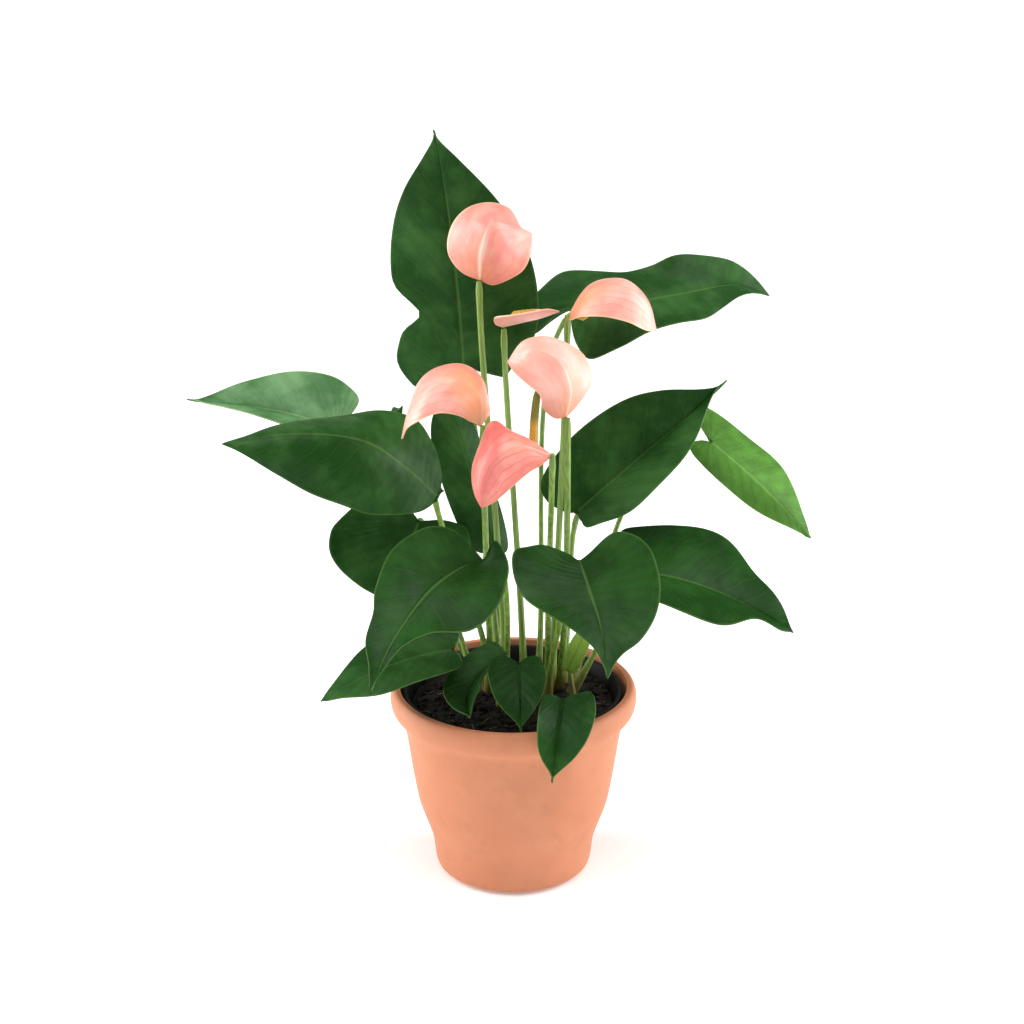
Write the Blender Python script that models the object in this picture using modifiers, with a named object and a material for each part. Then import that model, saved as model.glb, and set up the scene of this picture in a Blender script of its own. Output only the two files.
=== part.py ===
"""Potted anthurium: a terracotta-coloured cover pot, the grow pot and soil inside it, and a plant of
leaf blades, spathes, spadices and the stalks that carry them.

All tables are in millimetres and are turned into metres when a piece is made. The pot's axis is the
Z axis and the pot rests on Z = 0. The plant faces -Y.
"""

import math

import bmesh
import bpy
from mathutils import Vector

MM = 0.001

# Cover pot
POT_FOOT_RADIUS = 37.0
POT_RIM_RADIUS = 69.7
POT_HEIGHT = 112.0
POT_STEPS = 56

# Grow pot, pushed a little to the front left inside the cover pot
GROW_CENTRE = (-0.5, -0.8)
GROW_RIM_RADIUS = 62.0
GROW_HEIGHT = 110.0
GROW_FOOT_Z = 3.3
GROW_STEPS = 48

# Soil
SOIL_EDGE_Z = 102.5
SOIL_TOP_Z = 105.0
SOIL_STEPS = 48

# Plant
BLADE_THICKNESS = 0.7
SPATHE_THICKNESS = 0.8
JOINT_GAP = 0.35

MATERIALS = {
    "pot_terracotta": ((0.60, 0.24, 0.13), 0.55),
    "grow_pot_black": ((0.012, 0.012, 0.013), 0.45),
    "soil_dark": ((0.016, 0.012, 0.010), 0.95),
    "leaf_green": ((0.030, 0.095, 0.020), 0.32),
    "leaf_young": ((0.10, 0.26, 0.05), 0.35),
    "stalk_green": ((0.13, 0.22, 0.05), 0.4),
    "crown_green": ((0.12, 0.13, 0.04), 0.6),
    "spathe_pink": ((0.85, 0.38, 0.30), 0.35),
    "spadix_yellow": ((0.80, 0.50, 0.08), 0.55),
}

# Leaves. base: where the stalk joins; tip; left and right: the blade's edges at its widest place
# (across from `broad`, a share of the length); lobes: how far each side reaches behind the base;
# blunt: a fuller outline towards the tip; arch and sway: the midrib's bow out of and in the blade;
# waves: (side, place, depth, length) where the edge draws in. foot: the stalk's foot on the soil,
# bow: how its middle bends away, pull: how far back from its end it is already turning, radius: its half
# thickness. A leaf with a spine is drawn as the flowers are.
LEAVES = {
    "leaf_01": dict(base=(-28, 42, 288), tip=(-44, 62, 419), left=(-68, 62, 342), right=(13, 45, 335),
                    lobes=(0.14, 0.0), broad=0.40, blunt=-0.3, sway=(0.02, 0.03),
                    waves=((-1, 0.20, 0.38, 0.07), (-1, -0.05, -0.25, 0.10), (1, 0.0, 0.3, 0.15)),
                    foot=(-8, 26), bow=(2, 8), radius=1.7),
    "leaf_02": dict(base=(33, 48, 319), spine=((62, 50, 322), (96, 60, 325), (124, 71, 326)),
                    tip=(145, 80, 317),
                    left=((25, 53, 315), (14, 55, 304), (4, 58, 300), (1, 62, 307), (8, 68, 317),
                          (18, 73, 325), (27, 77, 330), (39, 80, 331), (52, 82, 331), (65, 82, 331), (78, 82, 334),
                          (91, 82, 340), (107, 82, 340), (121, 82, 338), (130, 82, 333), (138, 81, 325)),
                    right=((32, 42, 314), (35, 36, 303), (43, 30, 296), (58, 27, 304), (74, 28, 312),
                           (91, 34, 315), (107, 44, 316), (118, 56, 319), (127, 66, 321), (136, 75, 320)),
                    foot=(14, 24), bow=(0, 6), radius=1.5),
    "leaf_03": dict(base=(-101, 44, 250), tip=(-185, 60, 262), left=(-118, 14, 260), right=(-106, 70, 273),
                    lobes=(0.08, 0.05), broad=0.2, blunt=-1.0, arch=(0.1, 0.02),
                    foot=(-18, 20), bow=(-6, 8), radius=1.4),
    "leaf_04": dict(base=(-42, -10, 230), spine=((-59, -17, 250), (-82, -26, 269), (-117, -37, 277)),
                    tip=(-157, -45, 274),
                    left=((-45, -16, 227), (-53, -24, 226), (-67, -32, 228), (-80, -38, 231), (-94, -42, 238),
                          (-111, -45, 246), (-128, -46, 257), (-144, -46, 268)),
                    right=((-39, -3, 237), (-41, 4, 246), (-45, 9, 256), (-52, 12, 265), (-62, 12, 269),
                           (-78, 10, 272), (-96, 4, 272), (-116, -8, 273), (-133, -20, 274), (-145, -34, 275)),
                    foot=(-14, 4), bow=(13, -2), pull=0.3, radius=1.6),
    "leaf_05": dict(base=(-77, 35, 247), tip=(-62, 30, 269), left=(-76, 22, 262), right=(-68, 43, 262),
                    lobes=(0.1, 0.1), arch=(0.25, 0.25),
                    foot=(-21, 32), bow=(-8, 8), radius=1.0),
    "leaf_06": dict(base=(-12, 22, 188), tip=(-37, 36, 273), left=(-44, 30, 236), right=(-14, 40, 231),
                    lobes=(0.1, 0.1), broad=0.45, blunt=0.5,
                    foot=(-2, 22), bow=(-2, 2), radius=1.3),
    "leaf_07": dict(base=(-53, 12, 206), tip=(-70, -8, 167), left=(-26, 12, 186), right=(-102, 0, 204),
                    lobes=(0.1, 0.25), broad=0.25, blunt=0.6,
                    foot=(-20, 10), bow=(-2, 4), radius=1.5),
    "leaf_08": dict(base=(-16, -52, 209), spine=((-32, -62, 206), (-48, -80, 199), (-65, -103, 181)),
                    tip=(-76, -120, 160),
                    left=((-22, -46, 214), (-31, -43, 222), (-40, -44, 226), (-51, -49, 226), (-66, -62, 219),
                          (-74, -80, 205), (-75, -90, 195), (-79, -101, 183), (-77, -111, 172)),
                    right=((-11, -55, 220), (-8, -57, 222), (-3, -66, 214), (-3, -76, 207), (-9, -90, 197),
                           (-23, -99, 189), (-43, -102, 188), (-60, -108, 182), (-71, -115, 171)),
                    foot=(-5, 3), bow=(6, 16), radius=1.7),
    "leaf_09": dict(base=(36, 25, 207), tip=(120, 50, 277), left=(44, 45, 255), right=(76, 8, 224),
                    lobes=(0.1, 0.02), broad=0.3, blunt=-0.6, arch=(0.02, -0.04),
                    waves=((1, 0.0, 0.3, 0.12),),
                    foot=(28, 18), bow=(2, 2), radius=1.6),
    "leaf_10": dict(base=(113, 62, 235), tip=(170, 45, 183), left=(141, 81, 227), right=(124, 46, 211),
                    lobes=(0.2, 0.1), broad=0.35, arch=(0.05, 0.05),
                    foot=(34, 20), bow=(-8, 8), pull=0.42, radius=1.5),
    "leaf_11": dict(base=(71, -5, 183), tip=(155, -30, 157), left=(105, 22, 199), right=(100, -48, 174),
                    lobes=(0.15, 0.1), broad=0.35, arch=(0.12, 0.1),
                    waves=((1, 0.76, 0.45, 0.15), (-1, 0.72, 0.2, 0.12)),
                    foot=(34, 6), bow=(2, 2), radius=1.6),
    "leaf_12": dict(base=(36, -50, 208), spine=((41, -66, 198), (47, -88, 184)), tip=(50, -112, 166),
                    left=((42, -45, 211), (54, -43, 221), (64, -50, 224), (72, -58, 221), (77, -68, 213),
                          (79, -78, 203), (76, -88, 192), (68, -96, 181), (58, -102, 175), (52, -108, 170)),
                    right=((30, -45, 209), (17, -44, 215), (8, -48, 216), (0, -54, 215), (0, -62, 205),
                           (6, -72, 196), (19, -82, 190), (33, -91, 184), (43, -98, 178), (48, -106, 172)),
                    foot=(19, -2), bow=(-3, 12), radius=1.7),
    "leaf_13": dict(base=(-34, -22, 143), tip=(-106, -58, 128), left=(-57, -56, 136), right=(-60, 4, 145),
                    lobes=(0.05, 0.05), broad=0.35, arch=(0.1, 0.08),
                    foot=(-24, 0), bow=(-4, 6), radius=1.3),
    "leaf_14": dict(base=(-4, -16, 137), tip=(-24, -58, 118), left=(-18, -44, 132), right=(-38, -32, 129),
                    lobes=(0.05, 0.05), broad=0.5, sway=(0.25, 0.3),
                    foot=(-8, -14), bow=(0, 0), radius=1.1),
    "leaf_15": dict(base=(3, -31, 138), tip=(4, -64, 112), left=(18, -45, 137), right=(-14, -47, 138),
                    lobes=(0.12, 0.12), broad=0.22, blunt=-0.6, arch=(0.1, 0.1),
                    foot=(4, -14), bow=(0, 0), radius=1.1),
    "leaf_16": dict(base=(27, -52, 126), tip=(21, -86, 92), left=(44, -74, 124), right=(13, -74, 122),
                    lobes=(0.08, 0.05), broad=0.28, blunt=-0.5, arch=(0.2, 0.1),
                    foot=(22, -18), bow=(0, -4), radius=1.1),
    "leaf_17": dict(base=(31, -8, 125), tip=(42, -24, 161), left=(31, -15, 143), right=(41, -18, 140),
                    lobes=(0.1, 0.1), broad=0.35,
                    foot=(34, -6), bow=(0, 0), radius=1.0),
}

YOUNG_LEAVES = ("leaf_03", "leaf_10", "leaf_17")

# Flowers. spine: the midrib between base and tip; left and right: the edges between base and tip, with
# the spadix's side up; spadix: its tip, measured from its foot, which stands on the spathe's base or at
# spadix_foot.
FLOWERS = {
    "flower_1": dict(base=(-18, 16, 347), spine=((-17, 6, 367), (-10, 9, 381)), tip=(10, 27, 370),
                     left=((-10, 17, 344), (4, 20, 350), (9, 24, 359)),
                     right=((-28, 17, 351), (-35, 20, 359), (-36, 23, 368), (-32, 26, 378), (-24, 28, 385),
                            (-13, 29, 387), (-2, 29, 383), (4, 28, 373)),
                     spadix=(2, 22, 20), foot=(-4, 16), bow=(2, 2), radius=1.8),
    "flower_2": dict(base=(31, 15, 326), spine=((41, 5, 343), (58, 2, 348), (72, 3, 338)), tip=(78, 6, 321),
                     left=((31, 9, 326), (37, 0, 331), (49, -9, 334), (62, -9, 331), (72, -2, 324)),
                     right=((32, 20, 329), (38, 30, 336), (48, 36, 339), (62, 36, 338), (71, 30, 333),
                            (76, 18, 327)),
                     spadix=(14, 2, 9), foot=(22, 14), bow=(0, 2), radius=1.8),
    "flower_3": dict(base=(28, -35, 286), spine=((30, -46, 306), (23, -45, 322), (9, -38, 325)),
                     tip=(-3, -28, 315),
                     left=((36, -33, 294), (42, -30, 304), (41, -28, 312), (36, -27, 320), (26, -26, 326),
                           (16, -26, 329), (5, -27, 326)),
                     right=((22, -36, 286), (16, -38, 292), (14, -40, 300), (8, -38, 305), (0, -32, 311)),
                     spadix=(-3, 22, 18), foot=(26, 8), bow=(4, -8), radius=1.9),
    "flower_4": dict(base=(-18, -35, 281), tip=(-60, -45, 277),
                     spine=((-19, -46, 302), (-31, -49, 312), (-46, -49, 307), (-56, -47, 293)),
                     left=((-13, -30, 286), (-14, -22, 292), (-17, -15, 299), (-23, -9, 304), (-32, -7, 306),
                           (-44, -11, 304), (-52, -21, 299), (-57, -36, 289)),
                     right=((-23, -42, 286), (-31, -51, 293), (-40, -57, 296), (-49, -59, 293),
                            (-57, -53, 286)),
                     spadix=(-13, 5, 9), foot=(-12, 15), bow=(-1, -4), radius=1.8),
    "flower_5": dict(base=(20, -55, 271), tip=(-17, -70, 247),
                     spine=((3, -67, 281), (-11, -71, 274), (-17, -72, 260)),
                     left=((16, -51, 273), (7, -47, 278), (-2, -45, 282), (-9, -44, 287), (-14, -48, 286),
                           (-18, -54, 278), (-22, -60, 268), (-22, -64, 260), (-20, -68, 253)),
                     right=((15, -58, 267), (9, -60, 264), (2, -63, 259), (-9, -67, 250)),
                     spadix_foot=(11, -43, 268), spadix=(2, 8, 34), foot=(20, 6), bow=(-2, 8), radius=1.7),
    "flower_6": dict(base=(-6, 20, 319), spine=((4, 18, 322), (15, 14, 326)), tip=(25, 10, 331),
                     left=((-9, 26, 321), (-2, 33, 321), (9, 33, 324), (18, 23, 327)),
                     right=((-10, 13, 323), (-10, 7, 328), (-2, 2, 331), (10, 0, 334), (18, 4, 334)),
                     spadix_foot=(0, 21, 325), spadix=(14, -3, 3), foot=(6, 20), bow=(2, 2), radius=1.7),
}


def clear_scene():
    for old in list(bpy.data.objects):
        bpy.data.objects.remove(old, do_unlink=True)


def material(name):
    found = bpy.data.materials.get(name)
    if found:
        return found
    colour, roughness = MATERIALS[name]
    made = bpy.data.materials.new(name)
    made.use_nodes = True
    shader = made.node_tree.nodes["Principled BSDF"]
    shader.inputs["Base Color"].default_value = (*colour, 1.0)
    shader.inputs["Roughness"].default_value = roughness
    shader.inputs["Metallic"].default_value = 0.0
    return made


def add_mesh(name, bm, slot, parts):
    mesh = bpy.data.meshes.new(name)
    bm.to_mesh(mesh)
    bm.free()
    piece = bpy.data.objects.new(name, mesh)
    piece.data.materials.append(material(slot))
    parts.objects.link(piece)
    return piece


def turned(name, profile, steps, slot, parts, centre=(0.0, 0.0)):
    """A closed profile of (radius, height), spun about the Z axis."""
    bm = bmesh.new()
    points = [bm.verts.new((r * MM, 0.0, z * MM)) for r, z in reversed(profile)]
    for here, after in zip(points, points[1:]):
        bm.edges.new((here, after))
    piece = add_mesh(name, bm, slot, parts)
    piece.location = (centre[0] * MM, centre[1] * MM, 0.0)
    screw = piece.modifiers.new("Screw", "SCREW")
    screw.axis = "Z"
    screw.steps = steps
    screw.render_steps = steps
    screw.use_merge_vertices = True
    screw.merge_threshold = 0.00001
    return piece


def smooth_line(knots, share):
    """The point a share of the way along a smooth line through the knots."""
    spans = len(knots) - 1
    k = min(int(share * spans), spans - 1)
    t = share * spans - k
    b, c = knots[k], knots[k + 1]
    a = knots[k - 1] if k else 2 * b - c
    d = knots[k + 2] if k + 2 <= spans else 2 * c - b
    return 0.5 * (2 * b + (c - a) * t + (2 * a - 5 * b + 4 * c - d) * t * t
                  + (3 * b - a - 3 * c + d) * t ** 3)


def outline(lobe, broad, blunt, sinus):
    """Half of a blade's outline, from the stalk joint round the lobe to the tip: (along, across)."""
    rest = 1.0 - broad
    return [Vector(knot) for knot in (
        (0.0, 0.0),
        (-0.55 * lobe, sinus),
        (-lobe, 0.46),
        (-0.72 * lobe, 0.78),
        (0.35 * broad, 0.97),
        (broad, 1.0),
        (broad + 0.30 * rest, 0.90 + 0.04 * blunt),
        (broad + 0.56 * rest, 0.66 + 0.12 * blunt),
        (broad + 0.80 * rest, 0.31 + 0.20 * max(blunt, -0.8)),
        (broad + 0.93 * rest, max(0.02, 0.09 + 0.16 * blunt)),
        (1.0, 0.0),
    )]


class DrawnBlade:
    """A blade with a standard outline, spread over a bowed midrib."""

    def __init__(self, base, tip, left, right, lobes=(0.12, 0.12), broad=0.25, blunt=0.0, sinus=0.16,
                 arch=(0.0, 0.0), sway=(0.0, 0.0), cup=(-0.15, -0.15), sweep=0.5, waves=(), **other):
        self.base, self.tip = Vector(base), Vector(tip)
        self.cup, self.sweep, self.waves = cup, sweep, waves
        self.halves = {side: outline(lobe, broad, blunt, sinus) for side, lobe in zip((-1, 1), lobes)}
        chord = self.tip - self.base
        self.length = chord.length
        self.up = (Vector(right) - Vector(left)).cross(chord).normalized()
        across = chord.normalized().cross(self.up)
        pull = [(self.up * arch[i] + across * sway[i]) * self.length for i in (0, 1)]
        self.knots = [self.base, self.base + chord / 3 + pull[0], self.base + chord * 2 / 3 + pull[1],
                      self.tip]
        middle, along, normal, side = self.frame(broad)
        self.spread = {}
        for sign, edge in ((-1, left), (1, right)):
            away = Vector(edge) - middle
            self.spread[sign] = Vector((away.dot(along), away.dot(side), away.dot(normal)))
        self.width = (self.spread[-1].length + self.spread[1].length) / 2

    def frame(self, s):
        a, b, c, d = self.knots
        o = 1 - s
        place = a * o ** 3 + b * 3 * o * o * s + c * 3 * o * s * s + d * s ** 3
        along = ((b - a) * o * o + (c - b) * 2 * o * s + (d - c) * s * s).normalized()
        normal = (self.up - along * self.up.dot(along)).normalized()
        return place, along, normal, along.cross(normal)

    def point(self, share, side, q):
        """The point a share q of the way out to the edge, on the rib at this share of the outline."""
        ends = {s: smooth_line(self.halves[s], share) for s in (-1, 1)}
        starts = [max(0.0, end.x - self.sweep * end.y * self.width / self.length) for end in ends.values()]
        start = sum(starts) / 2
        x, reach = ends[side]
        for wave_side, place, depth, length in self.waves:
            if wave_side == side:
                reach *= 1 - depth * math.exp(-((x - place) / length) ** 2)
        x = start + (x - start) * q
        out = reach * q
        place, along, normal, across = self.frame(min(max(x, 0.0), 1.0))
        if x < 0:
            place = place + along * x * self.length
        spread = self.spread[side]
        bulge = self.cup[0 if side < 0 else 1] * spread.length * (out * out - out)
        return place + along * spread.x * out + across * spread.y * out + normal * (spread.z * out + bulge)


class FramedBlade:
    """A blade held between its midrib and its two edges, each a smooth line through given points."""

    def __init__(self, base, spine, tip, left, right, fold=0.35, early=0.05, lean=1.3, **other):
        self.lines = {side: [Vector(place) for place in (base, *line, tip)]
                      for side, line in ((-1, left), (0, spine), (1, right))}
        self.fold, self.early, self.lean = fold, early, lean

    def rib(self, share):
        """The rib's start on the midrib, its two ends on the edges, and the way across at its start."""
        start = smooth_line(self.lines[0], max(0.0, (share - self.early) / (1 - self.early)) ** self.lean)
        ends = {side: smooth_line(self.lines[side], share) for side in (-1, 1)}
        across = (ends[1] - start).normalized() - (ends[-1] - start).normalized()
        return start, ends, across.normalized()

    def frame(self, s):
        line = self.lines[0]
        place = smooth_line(line, s)
        along = (smooth_line(line, s + 0.02) - place).normalized()
        across = self.rib(0.4)[2]
        normal = across.cross(along).normalized()
        return place, along, normal, across

    def point(self, share, side, q):
        start, ends, across = self.rib(share)
        reach = ends[side] - start
        level = across * side * reach.length
        control = start + (reach * self.fold + level * (1 - self.fold)) / 2
        return start * (1 - q) ** 2 + control * 2 * q * (1 - q) + ends[side] * q * q


def blade_of(spec):
    return FramedBlade(**spec) if "spine" in spec else DrawnBlade(**spec)


def make_blade(name, blade, slot, parts, rows, columns, thickness):
    """A grid whose rows are ribs from the midrib to the edge and whose columns run base to tip."""
    bm = bmesh.new()
    bmesh.ops.create_grid(bm, x_segments=2 * columns, y_segments=rows - 1, size=1.0)
    for vert in bm.verts:
        share = round((vert.co.y + 1) / 2 * (rows - 1)) / (rows - 1)
        column = round(vert.co.x * columns)
        if column == 0:
            place = (blade.point(share, -1, 0.0) + blade.point(share, 1, 0.0)) / 2
        else:
            place = blade.point(share, 1 if column > 0 else -1, abs(column) / columns)
        vert.co = place * MM
    bmesh.ops.remove_doubles(bm, verts=bm.verts, dist=0.00005)
    piece = add_mesh(name, bm, slot, parts)
    solid = piece.modifiers.new("Thickness", "SOLIDIFY")
    solid.thickness = thickness * MM
    solid.offset = 0.0
    solid.use_even_offset = False
    return piece


def rod(name, points, radii, slot, parts, resolution=1):
    """A round stalk through the points, with a radius at each."""
    curve = bpy.data.curves.new(name, "CURVE")
    curve.dimensions = "3D"
    curve.bevel_depth = MM
    curve.bevel_resolution = resolution
    curve.use_fill_caps = True
    spline = curve.splines.new("POLY")
    spline.points.add(len(points) - 1)
    for spot, place, radius in zip(spline.points, points, radii):
        spot.co = (place.x * MM, place.y * MM, place.z * MM, 1.0)
        spot.radius = radius
    piece = bpy.data.objects.new(name, curve)
    piece.data.materials.append(material(slot))
    parts.objects.link(piece)
    return piece


def stalk_points(foot, end, arrive, bow, pull=0.18, count=9):
    """From the soil up to `end`, which it reaches going the way of `arrive`."""
    start = Vector((foot[0], foot[1], SOIL_TOP_Z + 1.2))
    span = (end - start).length
    first = start + (end - start) * 0.33 + Vector((bow[0], bow[1], 0.0))
    second = end - arrive * span * pull
    points = []
    for i in range(count):
        s = i / (count - 1)
        o = 1 - s
        points.append(start * o ** 3 + first * 3 * o * o * s + second * 3 * o * s * s + end * s ** 3)
    return points


def joint(blade, radius, thickness):
    """Where a stalk ends just under a blade's base."""
    place, along, normal, across = blade.frame(0.0)
    return place - normal * (radius + thickness / 2 + JOINT_GAP) - along * 1.8


def make_leaf(name, spec, parts):
    blade = blade_of(spec)
    slot = "leaf_young" if name in YOUNG_LEAVES else "leaf_green"
    rows = 23 if "spine" in spec else 15
    make_blade(name + "_blade", blade, slot, parts, rows, 3, BLADE_THICKNESS)
    place, along, normal, across = blade.frame(0.0)
    arrive = (along * 0.6 + normal * 0.5).normalized()
    end = joint(blade, spec["radius"], BLADE_THICKNESS)
    points = stalk_points(spec["foot"], end, arrive, spec["bow"], spec.get("pull", 0.18))
    radii = [spec["radius"] * (1.25 - 0.25 * min(1.0, i / 3)) for i in range(len(points))]
    rod(name + "_petiole", points, radii, "stalk_green", parts)


def make_flower(name, spec, parts):
    blade = blade_of(spec)
    make_blade(name + "_spathe", blade, "spathe_pink", parts, 17, 4, SPATHE_THICKNESS)
    end = joint(blade, spec["radius"], SPATHE_THICKNESS)
    points = stalk_points(spec["foot"], end, Vector((0.0, 0.0, 1.0)), spec["bow"])
    radii = [spec["radius"] * (1.25 - 0.25 * min(1.0, i / 3)) for i in range(len(points))]
    rod(name + "_peduncle", points, radii, "stalk_green", parts)
    place, along, normal, across = blade.frame(0.0)
    way = Vector(spec["spadix"])
    start = Vector(spec.get("spadix_foot", place + normal * (SPATHE_THICKNESS / 2 + 5.0) + along * 3.0))
    points = [start + way * s for s in (0.0, 0.05, 0.35, 0.7, 0.93, 1.0)]
    rod(name + "_spadix", points, (1.6, 2.0, 2.1, 1.8, 1.3, 0.6), "spadix_yellow", parts)


def make_pots(parts):
    outer = [(0.0, 0.0), (35.0, 0.0), (POT_FOOT_RADIUS + 3, 1.2), (43.2, 4.0), (44.5, 8.0), (45.7, 18.0),
             (47.5, 25.0), (51.5, 36.0), (54.3, 45.0), (57.5, 63.0), (60.0, 80.0), (62.0, 90.0),
             (64.5, 95.5), (67.5, 98.0), (69.2, 101.5), (POT_RIM_RADIUS, 106.0), (69.2, 109.5),
             (67.5, POT_HEIGHT), (65.2, 112.0), (64.0, 110.8)]
    inner = [(63.2, 100.0), (62.0, 95.0), (59.5, 90.0), (57.5, 80.0), (55.0, 63.0), (51.8, 45.0),
             (49.0, 36.0), (45.0, 25.0), (43.2, 18.0), (42.0, 8.0), (40.0, 3.0), (0.0, 2.8)]
    turned("outer_pot", outer + inner, POT_STEPS, "pot_terracotta", parts)
    wall = 1.2
    grow = [(0.0, GROW_FOOT_Z), (36.0, GROW_FOOT_Z), (38.0, 5.0), (40.0, 20.0), (42.0, 26.0), (49.2, 60.0),
            (59.0, 104.0), (59.3, 106.0), (GROW_RIM_RADIUS, 106.4), (GROW_RIM_RADIUS, GROW_HEIGHT),
            (59.6, GROW_HEIGHT), (58.2, 104.0), (49.2 - wall, 60.0), (42.0 - wall, 26.0), (40.0 - wall, 20.0),
            (36.2, GROW_FOOT_Z + wall), (0.0, GROW_FOOT_Z + wall)]
    turned("grow_pot", grow, GROW_STEPS, "grow_pot_black", parts, GROW_CENTRE)
    soil = [(0.0, GROW_FOOT_Z + wall + 0.4), (35.6, GROW_FOOT_Z + wall + 0.4), (38.3, 20.0), (40.3, 26.0),
            (47.5, 60.0), (56.6, SOIL_EDGE_Z), (40.0, 103.6), (20.0, 104.6), (0.0, SOIL_TOP_Z)]
    turned("soil", soil, SOIL_STEPS, "soil_dark", parts, GROW_CENTRE)


def main():
    clear_scene()
    parts = bpy.data.collections.new("potted_anthurium")
    bpy.context.scene.collection.children.link(parts)
    make_pots(parts)
    for name, spec in LEAVES.items():
        make_leaf(name, spec, parts)
    for name, spec in FLOWERS.items():
        make_flower(name, spec, parts)


main()
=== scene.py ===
"""Potted anthurium: a cover pot, the grow pot and soil in it, and the plant, built over the CAD frame.

The tables are in millimetres. The pot's axis is the Z axis, the pot rests on Z = 0 and the plant
faces -Y.
"""

import math
import random

import bpy
from mathutils import Matrix, Vector, noise


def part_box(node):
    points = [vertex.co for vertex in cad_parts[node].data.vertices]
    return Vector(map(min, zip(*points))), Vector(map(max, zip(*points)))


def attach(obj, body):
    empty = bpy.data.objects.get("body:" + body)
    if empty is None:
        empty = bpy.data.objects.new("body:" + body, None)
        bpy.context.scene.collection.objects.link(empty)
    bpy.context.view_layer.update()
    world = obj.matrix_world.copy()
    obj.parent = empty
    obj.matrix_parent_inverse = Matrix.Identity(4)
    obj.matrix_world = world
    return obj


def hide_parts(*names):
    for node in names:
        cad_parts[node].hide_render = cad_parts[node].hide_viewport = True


bl_info = {
    "name": "Potted Anthurium",
    "version": (1, 0, 0),
    "blender": (4, 5, 0),
    "location": "3D View > Sidebar > Anthurium",
    "description": "Builds a potted anthurium piece by piece",
    "category": "Add Mesh",
}

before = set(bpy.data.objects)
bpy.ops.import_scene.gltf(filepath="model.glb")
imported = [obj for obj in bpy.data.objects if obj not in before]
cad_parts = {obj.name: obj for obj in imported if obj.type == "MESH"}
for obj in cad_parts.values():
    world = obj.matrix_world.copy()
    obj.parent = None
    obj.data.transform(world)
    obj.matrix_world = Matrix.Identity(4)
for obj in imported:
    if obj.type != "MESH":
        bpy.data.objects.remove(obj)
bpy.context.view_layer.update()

MM = 0.001
BODY = "root"

# Pots: (radius, height) from the foot, up the outside, over the rim and down the inside
COVER_OUTSIDE = ((35.0, 0.0), (38.4, 0.5), (41.4, 1.9), (43.2, 4.0), (44.5, 8.0), (45.7, 18.0), (47.5, 25.0),
                 (51.5, 36.0), (54.3, 45.0), (57.5, 63.0), (60.0, 80.0), (62.0, 90.0), (64.5, 95.5),
                 (67.5, 98.0), (69.2, 101.5), (69.7, 106.0), (69.2, 109.5), (67.5, 112.0), (65.2, 112.0),
                 (64.0, 110.8))
COVER_INSIDE = ((63.2, 100.0), (62.0, 95.0), (59.5, 90.0), (57.5, 80.0), (55.0, 63.0), (51.8, 45.0),
                (49.0, 36.0), (45.0, 25.0), (43.2, 18.0), (42.0, 8.0), (40.0, 3.0), (2.0, 2.8))
GROW_CENTRE = (-0.5, -0.8)
GROW_PROFILE = ((36.0, 3.3), (38.0, 5.0), (40.0, 20.0), (42.0, 26.0), (49.2, 60.0), (59.0, 104.0),
                (59.3, 106.0), (61.7, 106.4), (62.0, 106.8), (62.0, 109.6), (61.6, 110.0), (60.0, 110.0),
                (59.6, 109.6), (58.2, 104.0), (48.0, 60.0), (40.8, 26.0), (38.8, 20.0), (36.2, 4.5),
                (2.0, 4.5))
SOIL_PROFILE = ((35.6, 4.9), (38.3, 20.0), (40.3, 26.0), (47.5, 60.0), (56.6, 101.0))
SOIL_RADIUS = 56.6
SOIL_EDGE_Z = 102.5
SOIL_TOP_Z = 105.0

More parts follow.
